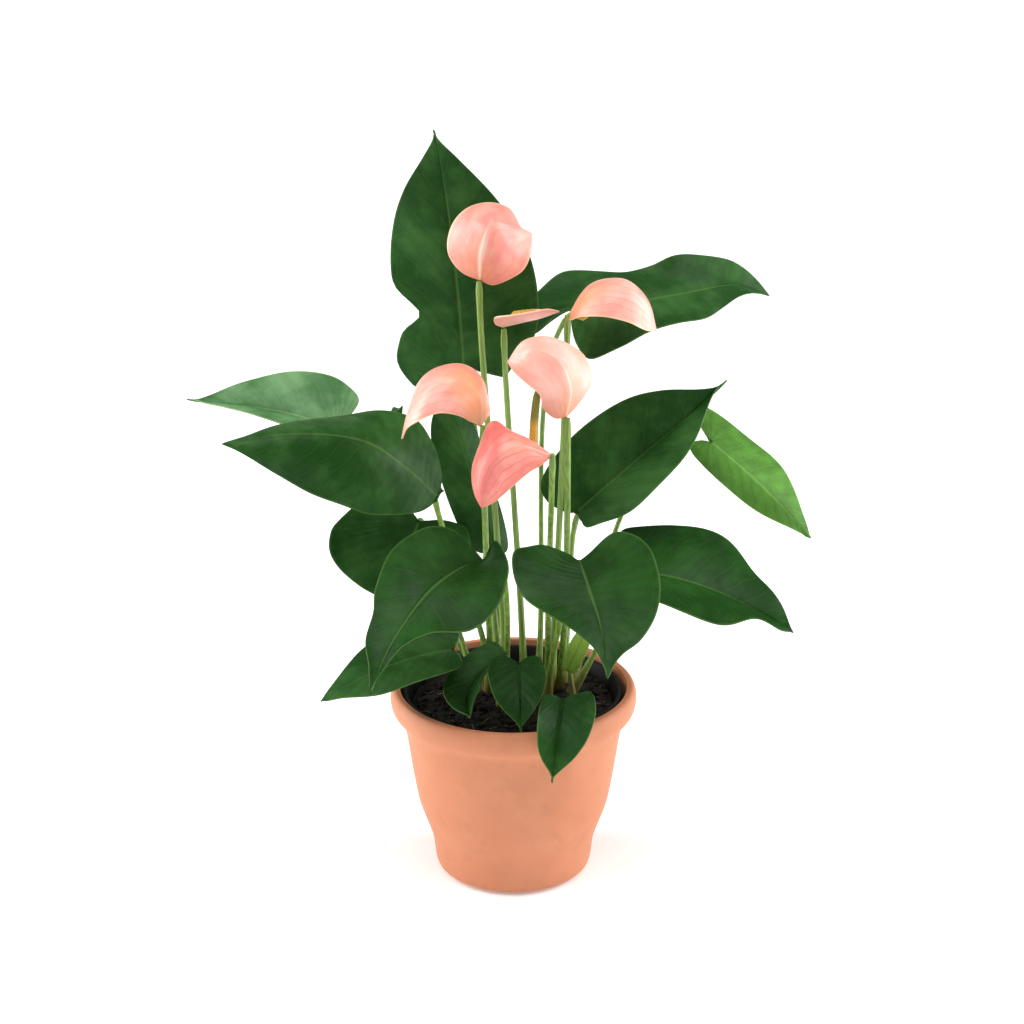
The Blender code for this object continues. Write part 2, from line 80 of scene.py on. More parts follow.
# Leaves. base: where the stalk joins; tip; left and right: the blade's edges at its widest place
# (across from `broad`, a share of the length); lobes: how far each side reaches behind the base;
# blunt: a fuller outline towards the tip; arch and sway: the midrib's bow out of and in the blade;
# waves: (side, place, depth, length) where the edge draws in. foot: the stalk's foot on the soil,
# bow: how its middle bends away, pull: how far back from its end it is already turning, radius: its half
# thickness. A leaf with a spine is drawn as the flowers are.
LEAVES = {
    "leaf_01": dict(base=(-28, 42, 288), tip=(-44, 62, 419), left=(-68, 62, 342), right=(13, 45, 335),
                    lobes=(0.14, 0.0), broad=0.40, blunt=-0.3, sway=(0.02, 0.03),
                    waves=((-1, 0.20, 0.38, 0.07), (-1, -0.05, -0.25, 0.10), (1, 0.0, 0.3, 0.15)),
                    foot=(-8, 26), bow=(2, 8), radius=1.7),
    "leaf_02": dict(base=(33, 48, 319), spine=((62, 50, 322), (96, 60, 325), (124, 71, 326)),
                    tip=(145, 80, 317),
                    left=((25, 53, 315), (14, 55, 304), (4, 58, 300), (1, 62, 307), (8, 68, 317),
                          (18, 73, 325), (27, 77, 330), (39, 80, 331), (52, 82, 331), (65, 82, 331),
                          (78, 82, 334), (91, 82, 340), (107, 82, 340), (121, 82, 338), (130, 82, 333),
                          (138, 81, 325)),
                    right=((32, 42, 314), (35, 36, 303), (43, 30, 296), (58, 27, 304), (74, 28, 312),
                           (91, 34, 315), (107, 44, 316), (118, 56, 319), (127, 66, 321), (136, 75, 320)),
                    foot=(14, 24), bow=(0, 6), radius=1.5),
    "leaf_03": dict(base=(-101, 44, 250), tip=(-185, 60, 262), left=(-118, 14, 260), right=(-106, 70, 273),
                    lobes=(0.08, 0.05), broad=0.2, blunt=-1.0, arch=(0.1, 0.02),
                    foot=(-18, 20), bow=(-6, 8), radius=1.4),
    "leaf_04": dict(base=(-42, -10, 230), spine=((-59, -17, 250), (-82, -26, 269), (-117, -37, 277)),
                    tip=(-157, -45, 274),
                    left=((-45, -16, 227), (-53, -24, 226), (-67, -32, 228), (-80, -38, 231), (-94, -42, 238),
                          (-111, -45, 246), (-128, -46, 257), (-144, -46, 268)),
                    right=((-39, -3, 237), (-41, 4, 246), (-45, 9, 256), (-52, 12, 265), (-62, 12, 269),
                           (-78, 10, 272), (-96, 4, 272), (-116, -8, 273), (-133, -20, 274),
                           (-145, -34, 275)),
                    foot=(-14, 4), bow=(13, -2), pull=0.3, radius=1.6),
    "leaf_05": dict(base=(-77, 35, 247), tip=(-62, 30, 269), left=(-76, 22, 262), right=(-68, 43, 262),
                    lobes=(0.1, 0.1), arch=(0.25, 0.25),
                    foot=(-21, 32), bow=(-8, 8), radius=1.0),
    "leaf_06": dict(base=(-12, 22, 188), tip=(-37, 36, 273), left=(-44, 30, 236), right=(-14, 40, 231),
                    lobes=(0.1, 0.1), broad=0.45, blunt=0.5,
                    foot=(-2, 22), bow=(-2, 2), radius=1.3),
    "leaf_07": dict(base=(-53, 12, 206), tip=(-70, -8, 167), left=(-26, 12, 186), right=(-102, 0, 204),
                    lobes=(0.1, 0.25), broad=0.25, blunt=0.6,
                    foot=(-20, 10), bow=(-2, 4), radius=1.5),
    "leaf_08": dict(base=(-16, -52, 209), spine=((-32, -62, 206), (-48, -80, 199), (-65, -103, 181)),
                    tip=(-76, -120, 160),
                    left=((-22, -46, 214), (-31, -43, 222), (-40, -44, 226), (-51, -49, 226), (-66, -62, 219),
                          (-74, -80, 205), (-75, -90, 195), (-79, -101, 183), (-77, -111, 172)),
                    right=((-11, -55, 220), (-8, -57, 222), (-3, -66, 214), (-3, -76, 207), (-9, -90, 197),
                           (-23, -99, 189), (-43, -102, 188), (-60, -108, 182), (-71, -115, 171)),
                    foot=(-5, 3), bow=(6, 16), radius=1.7),
    "leaf_09": dict(base=(36, 25, 207), tip=(120, 50, 277), left=(44, 45, 255), right=(76, 8, 224),
                    lobes=(0.1, 0.02), broad=0.3, blunt=-0.6, arch=(0.02, -0.04),
                    waves=((1, 0.0, 0.3, 0.12),),
                    foot=(28, 18), bow=(2, 2), radius=1.6),
    "leaf_10": dict(base=(113, 62, 235), tip=(170, 45, 183), left=(141, 81, 227), right=(124, 46, 211),
                    lobes=(0.2, 0.1), broad=0.35, arch=(0.05, 0.05),
                    foot=(34, 20), bow=(-8, 8), pull=0.42, radius=1.5),
    "leaf_11": dict(base=(71, -5, 183), tip=(155, -30, 157), left=(105, 22, 199), right=(100, -48, 174),
                    lobes=(0.15, 0.1), broad=0.35, arch=(0.12, 0.1),
                    waves=((1, 0.76, 0.45, 0.15), (-1, 0.72, 0.2, 0.12)),
                    foot=(34, 6), bow=(2, 2), radius=1.6),
    "leaf_12": dict(base=(36, -50, 208), spine=((41, -66, 198), (47, -88, 184)), tip=(50, -112, 166),
                    left=((42, -45, 211), (54, -43, 221), (64, -50, 224), (72, -58, 221), (77, -68, 213),
                          (79, -78, 203), (76, -88, 192), (68, -96, 181), (58, -102, 175), (52, -108, 170)),
                    right=((30, -45, 209), (17, -44, 215), (8, -48, 216), (0, -54, 215), (0, -62, 205),
                           (6, -72, 196), (19, -82, 190), (33, -91, 184), (43, -98, 178), (48, -106, 172)),
                    foot=(19, -2), bow=(-3, 12), radius=1.7),
    "leaf_13": dict(base=(-34, -22, 143), tip=(-106, -58, 128), left=(-57, -56, 136), right=(-60, 4, 145),
                    lobes=(0.05, 0.05), broad=0.35, arch=(0.1, 0.08),
                    foot=(-24, 0), bow=(-4, 6), radius=1.3),
    "leaf_14": dict(base=(-4, -16, 137), tip=(-24, -58, 118), left=(-18, -44, 132), right=(-38, -32, 129),
                    lobes=(0.05, 0.05), broad=0.5, sway=(0.25, 0.3),
                    foot=(-8, -14), bow=(0, 0), radius=1.1),
    "leaf_15": dict(base=(3, -31, 138), tip=(4, -64, 112), left=(18, -45, 137), right=(-14, -47, 138),
                    lobes=(0.12, 0.12), broad=0.22, blunt=-0.6, arch=(0.1, 0.1),
                    foot=(4, -14), bow=(0, 0), radius=1.1),
    "leaf_16": dict(base=(27, -52, 126), tip=(21, -86, 92), left=(44, -74, 124), right=(13, -74, 122),
                    lobes=(0.08, 0.05), broad=0.28, blunt=-0.5, arch=(0.2, 0.1),
                    foot=(22, -18), bow=(0, -4), radius=1.1),
    "leaf_17": dict(base=(31, -8, 125), tip=(42, -24, 161), left=(31, -15, 143), right=(41, -18, 140),
                    lobes=(0.1, 0.1), broad=0.35,
                    foot=(34, -6), bow=(0, 0), radius=1.0),
}

# painted_shade: the grown finish made darker all over, painted shade on leaves that face the overhead light
LEAF_FINISH_KINDS = {"leaf_03": "pale", "leaf_10": "young_and_backlit", "leaf_17": "new", "leaf_08": "painted_shade", "leaf_11": "painted_shade",
             "leaf_12": "painted_shade", "leaf_15": "painted_shade"}

# Flowers. spine: the midrib between base and tip; left and right: the edges between base and tip, with
# the spadix's side up; spadix: its tip, measured from its foot, which stands on the spathe's base or at
# spadix_foot.
FLOWERS = {
    "flower_1": dict(base=(-18, 16, 347), spine=((-17, 6, 367), (-10, 9, 381)), tip=(10, 27, 370),
                     left=((-10, 17, 344), (4, 20, 350), (9, 24, 359)),
                     right=((-28, 17, 351), (-35, 20, 359), (-36, 23, 368), (-32, 26, 378), (-24, 28, 385),
                            (-13, 29, 387), (-2, 29, 383), (4, 28, 373)),
                     spadix=(2, 22, 20), foot=(-4, 16), bow=(2, 2), radius=1.8),
    "flower_2": dict(base=(31, 15, 326), spine=((41, 5, 343), (58, 2, 348), (72, 3, 338)), tip=(78, 6, 321),
                     left=((31, 9, 326), (37, 0, 331), (49, -9, 334), (62, -9, 331), (72, -2, 324)),
                     right=((32, 20, 329), (38, 30, 336), (48, 36, 339), (62, 36, 338), (71, 30, 333),
                            (76, 18, 327)),
                     spadix=(14, 2, 9), foot=(22, 14), bow=(0, 2), radius=1.8),
    "flower_3": dict(base=(28, -35, 286), spine=((30, -46, 306), (23, -45, 322), (9, -38, 325)),
                     tip=(-3, -28, 315),
                     left=((36, -33, 294), (42, -30, 304), (41, -28, 312), (36, -27, 320), (26, -26, 326),
                           (16, -26, 329), (5, -27, 326)),
                     right=((22, -36, 286), (16, -38, 292), (14, -40, 300), (8, -38, 305), (0, -32, 311)),
                     spadix=(-3, 22, 18), foot=(26, 8), bow=(4, -8), radius=1.9),
    "flower_4": dict(base=(-18, -35, 281), tip=(-60, -45, 277),
                     spine=((-19, -46, 302), (-31, -49, 312), (-46, -49, 307), (-56, -47, 293)),
                     left=((-13, -30, 286), (-14, -22, 292), (-17, -15, 299), (-23, -9, 304), (-32, -7, 306),
                           (-44, -11, 304), (-52, -21, 299), (-57, -36, 289)),
                     right=((-23, -42, 286), (-31, -51, 293), (-40, -57, 296), (-49, -59, 293),
                            (-57, -53, 286)),
                     spadix=(-13, 5, 9), foot=(-12, 15), bow=(-1, -4), radius=1.8),
    "flower_5": dict(base=(20, -55, 271), tip=(-17, -70, 247),
                     spine=((3, -67, 281), (-11, -71, 274), (-17, -72, 260)),
                     left=((16, -51, 273), (7, -47, 278), (-2, -45, 282), (-9, -44, 287), (-14, -48, 286),
                           (-18, -54, 278), (-22, -60, 268), (-22, -64, 260), (-20, -68, 253)),
                     right=((15, -58, 267), (9, -60, 264), (2, -63, 259), (-9, -67, 250)),
                     spadix_foot=(11, -43, 268), spadix=(2, 8, 34), foot=(20, 6), bow=(-2, 8), radius=1.7),
    "flower_6": dict(base=(-6, 20, 319), spine=((4, 18, 322), (15, 14, 326)), tip=(25, 10, 331),
                     left=((-9, 26, 321), (-2, 33, 321), (9, 33, 324), (18, 23, 327)),
                     right=((-10, 13, 323), (-10, 7, 328), (-2, 2, 331), (10, 0, 334), (18, 4, 334)),
                     spadix_foot=(0, 21, 325), spadix=(14, -3, 3), foot=(6, 20), bow=(2, 2), radius=1.7),
}

# Tone of each spathe. deep: how far from pink towards coral; pale: how far towards the palest pink;
# ridge_and_highlight: how far its midrib rises, and the painted highlight along it; glow: the warm tint
# round its base; veins: how strongly they show; spot: a tint (along, across, radius) on it
TONES = {
    "flower_1": dict(deep=0.35, ridge_and_highlight=0.55, glow=0.3, veins=0.2),
    "flower_2": dict(deep=0.1, pale=0.5, glow=0.7, veins=0.18),
    "flower_3": dict(pale=0.75, ridge_and_highlight=0.35, glow=0.4, veins=0.1),
    "flower_4": dict(deep=0.15, pale=0.35, glow=0.65, veins=0.2, spot=(0.12, -0.85, 0.26)),
    "flower_5": dict(deep=0.8, glow=0.15, veins=0.75),
    "flower_6": dict(deep=0.1, pale=0.4, glow=0.3, veins=0.12, spot=(0.0, 0.0, 0.30)),
}
GREEN_TIPPED = ("flower_5",)

# Grids laid over the blades
LEAF_ROWS, LEAF_COLUMNS = 97, 14
SPATHE_ROWS, SPATHE_COLUMNS = 65, 16
COLUMN_CROWDING = 1.5  # columns stand closer together by the midrib
SIDE_VEINS = 18.0  # on each side of a leaf
RIDGE_WIDTH = 0.0011  # of the midrib's ridge below a blade, in metres
MIDRIB_RIDGE = {"leaf": 0.0009, "spathe": 0.0004}  # how far it stands out
STALK_POINTS = 30
SHEATH = {"petiole": 0.9, "peduncle": 0.5}  # how much a stalk's foot is thickened
SPADIX_RADIUS, THICK_SPADIX_RADIUS = 2.0, 2.5
SPADIX_AROUND, SPADIX_RINGS = 44, 88


def colour_property(name, description, default):
    return bpy.props.FloatVectorProperty(name=name, description=description, subtype="COLOR", size=3,
                                         min=0.0, max=1.0, default=default)


def length_property(name, description, default):
    return bpy.props.FloatProperty(name=name, description=description, default=default, min=0.0,
                                   precision=4, subtype="DISTANCE", unit="LENGTH")


def half_width(node):
    low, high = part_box(node)
    return (high[0] - low[0]) / 2


class PotSettings(bpy.types.PropertyGroup):
    rim_radius: length_property("Rim radius", "Outer radius of the cover pot's rim", half_width("outer_pot"))
    height: length_property("Height", "Height of the cover pot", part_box("outer_pot")[1][2])
    segments: bpy.props.IntProperty(name="Segments", description="Steps round each pot", default=144, min=32)
    clay: colour_property("Clay", "Terracotta of the cover pot", (0.57, 0.215, 0.105))
    clay_light: colour_property("Clay, chalky", "Paler bloom on the cover pot", (0.64, 0.265, 0.142))
    grow_black: colour_property("Grow pot", "Plastic of the grow pot", (0.010, 0.010, 0.011))


class SoilSettings(bpy.types.PropertyGroup):
    peat: colour_property("Peat", "Dark body of the soil", (0.007, 0.005, 0.004))
    bark: colour_property("Bark", "Brown crumbs in the soil", (0.026, 0.015, 0.009))
    straw: colour_property("Straw", "Pale bits and fibres", (0.42, 0.30, 0.14))
    lump: length_property("Lumps", "How far the soil's top rises and falls", 0.0022)
    crumbs: bpy.props.IntProperty(name="Crumbs", description="Loose crumbs on the soil", default=520, min=0)
    fibres: bpy.props.IntProperty(name="Fibres", description="Pale fibres on the soil", default=34, min=0)


class LeafSettings(bpy.types.PropertyGroup):
    thickness: length_property("Thickness", "Thickness of a leaf blade", 0.0007)
    quilting: length_property("Quilting", "How far the blade swells between its side veins", 0.00004)
    ripple: length_property("Ripple", "How far a blade's edge waves", 0.0008)
    dark: colour_property("Dark green", "Upper side of a grown leaf", (0.010, 0.052, 0.007))
    # green: lighter patches, partly random tone and partly painted sheen
    green: colour_property("Green", "Lighter patches of a grown leaf", (0.034, 0.108, 0.022))
    under: colour_property("Underside", "Lower side of a grown leaf", (0.085, 0.19, 0.055))
    vein: colour_property("Vein", "Midrib and side veins", (0.13, 0.24, 0.055))
    # a young leaf's lighter green, also painted brighter for light shining through the leaf
    young_and_backlit: colour_property("Young green", "A young leaf", (0.095, 0.26, 0.035))


class FlowerSettings(bpy.types.PropertyGroup):
    thickness: length_property("Thickness", "Thickness of a spathe", 0.0008)
    pink: colour_property("Pink", "Body of a spathe", (0.85, 0.30, 0.235))
    pale: colour_property("Pale pink", "Palest part of a spathe", (0.90, 0.42, 0.335))
    # the palest pink also paints the highlight along a spathe's midrib
    palest: colour_property("Palest pink", "Ridge lines and the palest spathe", (0.96, 0.78, 0.68))
    coral: colour_property("Coral", "Veins and the deeper spathe", (0.72, 0.135, 0.12))
    cream: colour_property("Cream", "Edges and lobes of a spathe", (0.86, 0.72, 0.38))
    spot: colour_property("Spot", "Yellow tint on some of the spathes", (0.72, 0.56, 0.13))
    gold: colour_property("Gold", "Spadix", (0.70, 0.38, 0.035))
    tip_green: colour_property("Tip green", "Spadix tip", (0.17, 0.24, 0.035))


class StalkSettings(bpy.types.PropertyGroup):
    green: colour_property("Green", "Upper part of the stalks", (0.25, 0.40, 0.065))
    olive: colour_property("Olive", "Darker streaks of the stalks", (0.13, 0.22, 0.035))
    foot: colour_property("Foot", "Sheaths at the stalks' feet", (0.20, 0.095, 0.045))


class StageSettings(bpy.types.PropertyGroup):
    floor: colour_property("Floor", "Plain pale floor", (0.93, 0.93, 0.93))
    floor_glow: bpy.props.FloatProperty(name="Floor glow", description="Evens out the floor's shadows",
                                        default=0.22, min=0.0)
    distance: length_property("Distance", "Camera to the middle of the plant", 2.0)
    elevation: bpy.props.FloatProperty(name="Elevation", description="Camera above the horizon",
                                       subtype="ANGLE", unit="ROTATION", default=math.radians(21.5))
    lens: bpy.props.FloatProperty(name="Lens", description="Focal length in millimetres",
                                  default=126.6, min=1.0)
    sky: bpy.props.FloatProperty(name="Sky", description="Strength of the white surround",
                                 default=0.28, min=0.0)
    overhead: bpy.props.FloatProperty(name="Overhead", description="Strength of the soft overhead light",
                                      default=2.5, min=0.0)
    sides: bpy.props.FloatProperty(name="Sides", description="Power of each side light in watts",
                                   default=19.0, min=0.0)


# ---------------------------------------------------------------- finishes


class Finish:
    """A material, built node by node round its Principled shader."""

    def __init__(self, name, roughness, specular=0.5, coat=0.0, coat_roughness=0.2, sheen=0.0):
        self.material = bpy.data.materials.new(name)
        self.material.use_nodes = True
        self.tree = self.material.node_tree
        self.shader = self.tree.nodes["Principled BSDF"]
        self.shader.inputs["Roughness"].default_value = roughness
        self.shader.inputs["Specular IOR Level"].default_value = specular
        self.shader.inputs["Coat Weight"].default_value = coat
        self.shader.inputs["Coat Roughness"].default_value = coat_roughness
        self.shader.inputs["Sheen Weight"].default_value = sheen

    def put(self, socket, value):
        """Links a socket to another node's output, or sets its value."""
        if isinstance(value, bpy.types.NodeSocket):
            self.tree.links.new(value, socket)
        elif hasattr(value, "__len__"):
            alpha = (1.0,) if len(value) == 3 and socket.type == "RGBA" else ()
            socket.default_value = (*value, *alpha)
        else:
            socket.default_value = value

    def place(self):
        return self.tree.nodes.new("ShaderNodeTexCoord").outputs["Object"]

    def uv(self, name):
        found = self.tree.nodes.new("ShaderNodeUVMap")
        found.uv_map = name
        return found.outputs["UV"]

    def attribute(self, name):
        found = self.tree.nodes.new("ShaderNodeAttribute")
        found.attribute_name = name
        return found.outputs["Vector"]

    def parts(self, vector):
        found = self.tree.nodes.new("ShaderNodeSeparateXYZ")
        self.put(found.inputs[0], vector)
        return found.outputs

    def maths(self, operation, first, second=0.0, third=0.0, clamp=False):
        found = self.tree.nodes.new("ShaderNodeMath")
        found.operation = operation
        found.use_clamp = clamp
        for socket, value in zip(found.inputs, (first, second, third)):
            self.put(socket, value)
        return found.outputs[0]

    def stretched(self, vector, scale):
        found = self.tree.nodes.new("ShaderNodeMapping")
        self.put(found.inputs["Vector"], vector)
        found.inputs["Scale"].default_value = scale
        return found.outputs[0]

    def noise(self, vector, scale, detail=3.0, roughness=0.55, distortion=0.0):
        found = self.tree.nodes.new("ShaderNodeTexNoise")
        self.put(found.inputs["Vector"], vector)
        found.inputs["Scale"].default_value = scale
        found.inputs["Detail"].default_value = detail
        found.inputs["Roughness"].default_value = roughness
        found.inputs["Distortion"].default_value = distortion
        return found.outputs["Fac"]

    def span(self, value, low, high, to_low=0.0, to_high=1.0):
        """Eases a value that runs from low to high into one that runs from to_low to to_high."""
        found = self.tree.nodes.new("ShaderNodeMapRange")
        found.interpolation_type = "SMOOTHSTEP"
        self.put(found.inputs["Value"], value)
        for socket, number in zip(("From Min", "From Max", "To Min", "To Max"), (low, high, to_low, to_high)):
            found.inputs[socket].default_value = number
        return found.outputs["Result"]

    def blend(self, share, first, second):
        found = self.tree.nodes.new("ShaderNodeMix")
        found.data_type = "RGBA"
        self.put(found.inputs[0], share)
        self.put(found.inputs[6], first)
        self.put(found.inputs[7], second)
        return found.outputs[2]

    def relief(self, height, distance, strength=1.0):
        found = self.tree.nodes.new("ShaderNodeBump")
        self.put(found.inputs["Height"], height)
        found.inputs["Distance"].default_value = distance
        found.inputs["Strength"].default_value = strength
        self.put(self.shader.inputs["Normal"], found.outputs["Normal"])

    def colour(self, value):
        self.put(self.shader.inputs["Base Color"], value)

    def dullness(self, value):
        self.put(self.shader.inputs["Roughness"], value)


def clay_finish(settings):
    """Matt terracotta plastic: chalky bloom, faint turning lines and a fine grain."""
    finish = Finish("terracotta", 0.6, specular=0.35)
    place = finish.place()
    bloom = finish.span(finish.noise(place, 26.0, 4.0), 0.35, 0.75)
    smudge = finish.span(finish.noise(place, 90.0, 3.0), 0.45, 0.8, 0.0, 0.35)
    body = finish.blend(finish.maths("MULTIPLY", bloom, 0.5), settings.clay, settings.clay_light)
    darker = tuple(0.8 * c for c in settings.clay)
    finish.colour(finish.blend(smudge, body, darker))
    grain = finish.noise(place, 1500.0, 2.0)
    lines = finish.noise(finish.stretched(place, (3.0, 3.0, 400.0)), 1.0, 2.0)
    finish.dullness(finish.span(grain, 0.3, 0.7, 0.52, 0.68))
    finish.relief(finish.maths("ADD", finish.maths("MULTIPLY", grain, 0.35), lines), 0.00018, 0.6)
    return finish.material


def grow_pot_finish(settings):
    """Thin black plastic with a dusting of soil."""
    finish = Finish("grow_pot_plastic", 0.7, specular=0.15)
    place = finish.place()
    dust = finish.span(finish.noise(place, 140.0, 4.0), 0.55, 0.75, 0.0, 0.5)
    finish.colour(finish.blend(dust, settings.grow_black, (0.045, 0.034, 0.026)))
    finish.dullness(finish.span(dust, 0.0, 0.5, 0.6, 0.9))
    finish.relief(finish.noise(place, 700.0, 2.0), 0.0001, 0.4)
    return finish.material


def soil_finish(settings, name, dark, light, scale):
    """Damp crumbly peat or bark."""
    finish = Finish(name, 0.85, specular=0.3)
    place = finish.place()
    patches = finish.span(finish.noise(place, scale, 5.0, 0.7), 0.42, 0.72)
    fine = finish.noise(place, scale * 6.0, 4.0, 0.7)
    finish.colour(finish.blend(patches, dark, light))
    finish.dullness(finish.span(fine, 0.3, 0.7, 0.6, 0.95))
    finish.relief(fine, 0.0007, 0.9)
    return finish.material


def leaf_finishes(settings, leaf_kind):
    """Upper side, lower side and cut edge of a leaf: grown, pale or new, young with painted light shining
    through, or darkened with painted shade.
    """
    young_and_backlit = Vector(settings.young_and_backlit)
    dark, green, under, vein = {
        "grown": (settings.dark, settings.green, settings.under, settings.vein),
        # painted shade: the grown finish darker all over, for leaves that face the overhead light
        "painted_shade": ((0.006, 0.038, 0.003), (0.016, 0.072, 0.009), settings.under, settings.vein),
        # young leaf colours, partly painted light shining through the leaf, brightest on its underside
        "young_and_backlit": (young_and_backlit * 0.55, young_and_backlit, young_and_backlit * 1.35, (0.36, 0.52, 0.14)),
        "pale": ((0.055, 0.16, 0.05), (0.15, 0.30, 0.13), (0.25, 0.40, 0.20), (0.42, 0.50, 0.22)),
        "new": ((0.20, 0.36, 0.05), (0.30, 0.48, 0.08), (0.34, 0.50, 0.12), (0.45, 0.55, 0.2)),
    }[leaf_kind]
    made = []
    for side, low, high, dull in (("top", dark, green, 0.42), ("under", Vector(under) * 0.75, under, 0.48)):
        finish = Finish(f"leaf_{leaf_kind}_{side}", dull, specular=0.09 if side == "top" else 0.25,
                        coat=0.04 if side == "top" else 0.0, coat_roughness=0.30)
        place = finish.place()
        across, along, _ = finish.parts(finish.uv("ribs"))
        off = finish.maths("MULTIPLY", finish.maths("ABSOLUTE", finish.maths("SUBTRACT", across, 0.5)), 2.0)
        wander = finish.maths("MULTIPLY", finish.noise(place, 45.0, 2.0), 0.9)
        ribs = finish.maths("ADD", finish.maths("MULTIPLY", along, SIDE_VEINS), wander)
        ribs = finish.maths("ADD", ribs, finish.maths("MULTIPLY", off, -0.9))
        saw = finish.maths("ABSOLUTE", finish.maths("SUBTRACT", finish.maths("FRACT", ribs), 0.5))
        lines = finish.span(saw, 0.0, 0.075, 1.0, 0.0)
        swell = finish.span(saw, 0.0, 0.5)
        fade = finish.span(off, 0.75, 0.98, 1.0, 0.0)
        lines = finish.maths("MULTIPLY", lines, fade)
        hem = finish.span(finish.maths("ABSOLUTE", finish.maths("SUBTRACT", off, 0.9)), 0.0, 0.012, 0.7, 0.0)
        midrib = finish.span(off, 0.008, 0.034, 1.0, 0.0)
        rim = finish.span(off, 0.965, 1.0)
        # random patches of the lighter green, partly tone and partly painted sheen
        patches = finish.span(finish.noise(place, 38.0, 4.0, 0.6), 0.35, 0.68)
        shade = finish.blend(patches, low, high)
        # painted shade: darker beside the side veins, where the blade dips
        painted_vein_shade = finish.maths("MULTIPLY", finish.span(saw, 0.05, 0.4, 1.0, 0.0), 0.22)
        shade = finish.blend(painted_vein_shade, shade, Vector(low) * 0.7)
        share = 0.06 if side == "top" else 0.25
        marks = finish.maths("MULTIPLY", finish.maths("MAXIMUM", lines, hem), share)
        shade = finish.blend(marks, shade, vein)
        shown = finish.maths("MULTIPLY", midrib, 0.28 if side == "top" else 0.5)
        shade = finish.blend(shown, shade, vein)
        shade = finish.blend(finish.maths("MULTIPLY", rim, 0.3), shade, vein)
        finish.colour(shade)
        grain = finish.noise(place, 1300.0, 2.0)
        mottle = finish.noise(place, 120.0, 3.0)
        finish.dullness(finish.span(mottle, 0.3, 0.7, dull - 0.06, dull + 0.12))
        sunk = finish.maths("MULTIPLY", finish.maths("MAXIMUM", lines, midrib),
                            -0.5 if side == "top" else 0.8)
        height = finish.maths("ADD", finish.maths("ADD", sunk, finish.maths("MULTIPLY", swell, 0.6)),
                              finish.maths("MULTIPLY", grain, 0.10))
        height = finish.maths("ADD", height, finish.maths("MULTIPLY", finish.noise(place, 75.0, 2.0), 7.0))
        finish.relief(height, 0.0003, 0.35)
        made.append(finish.material)
    edge = Finish(f"leaf_{leaf_kind}_edge", 0.45)
    place = edge.place()
    edge.colour(edge.blend(edge.noise(place, 200.0), Vector(green) * 1.6, Vector(vein) * 1.3))
    made.append(edge.material)
    return made


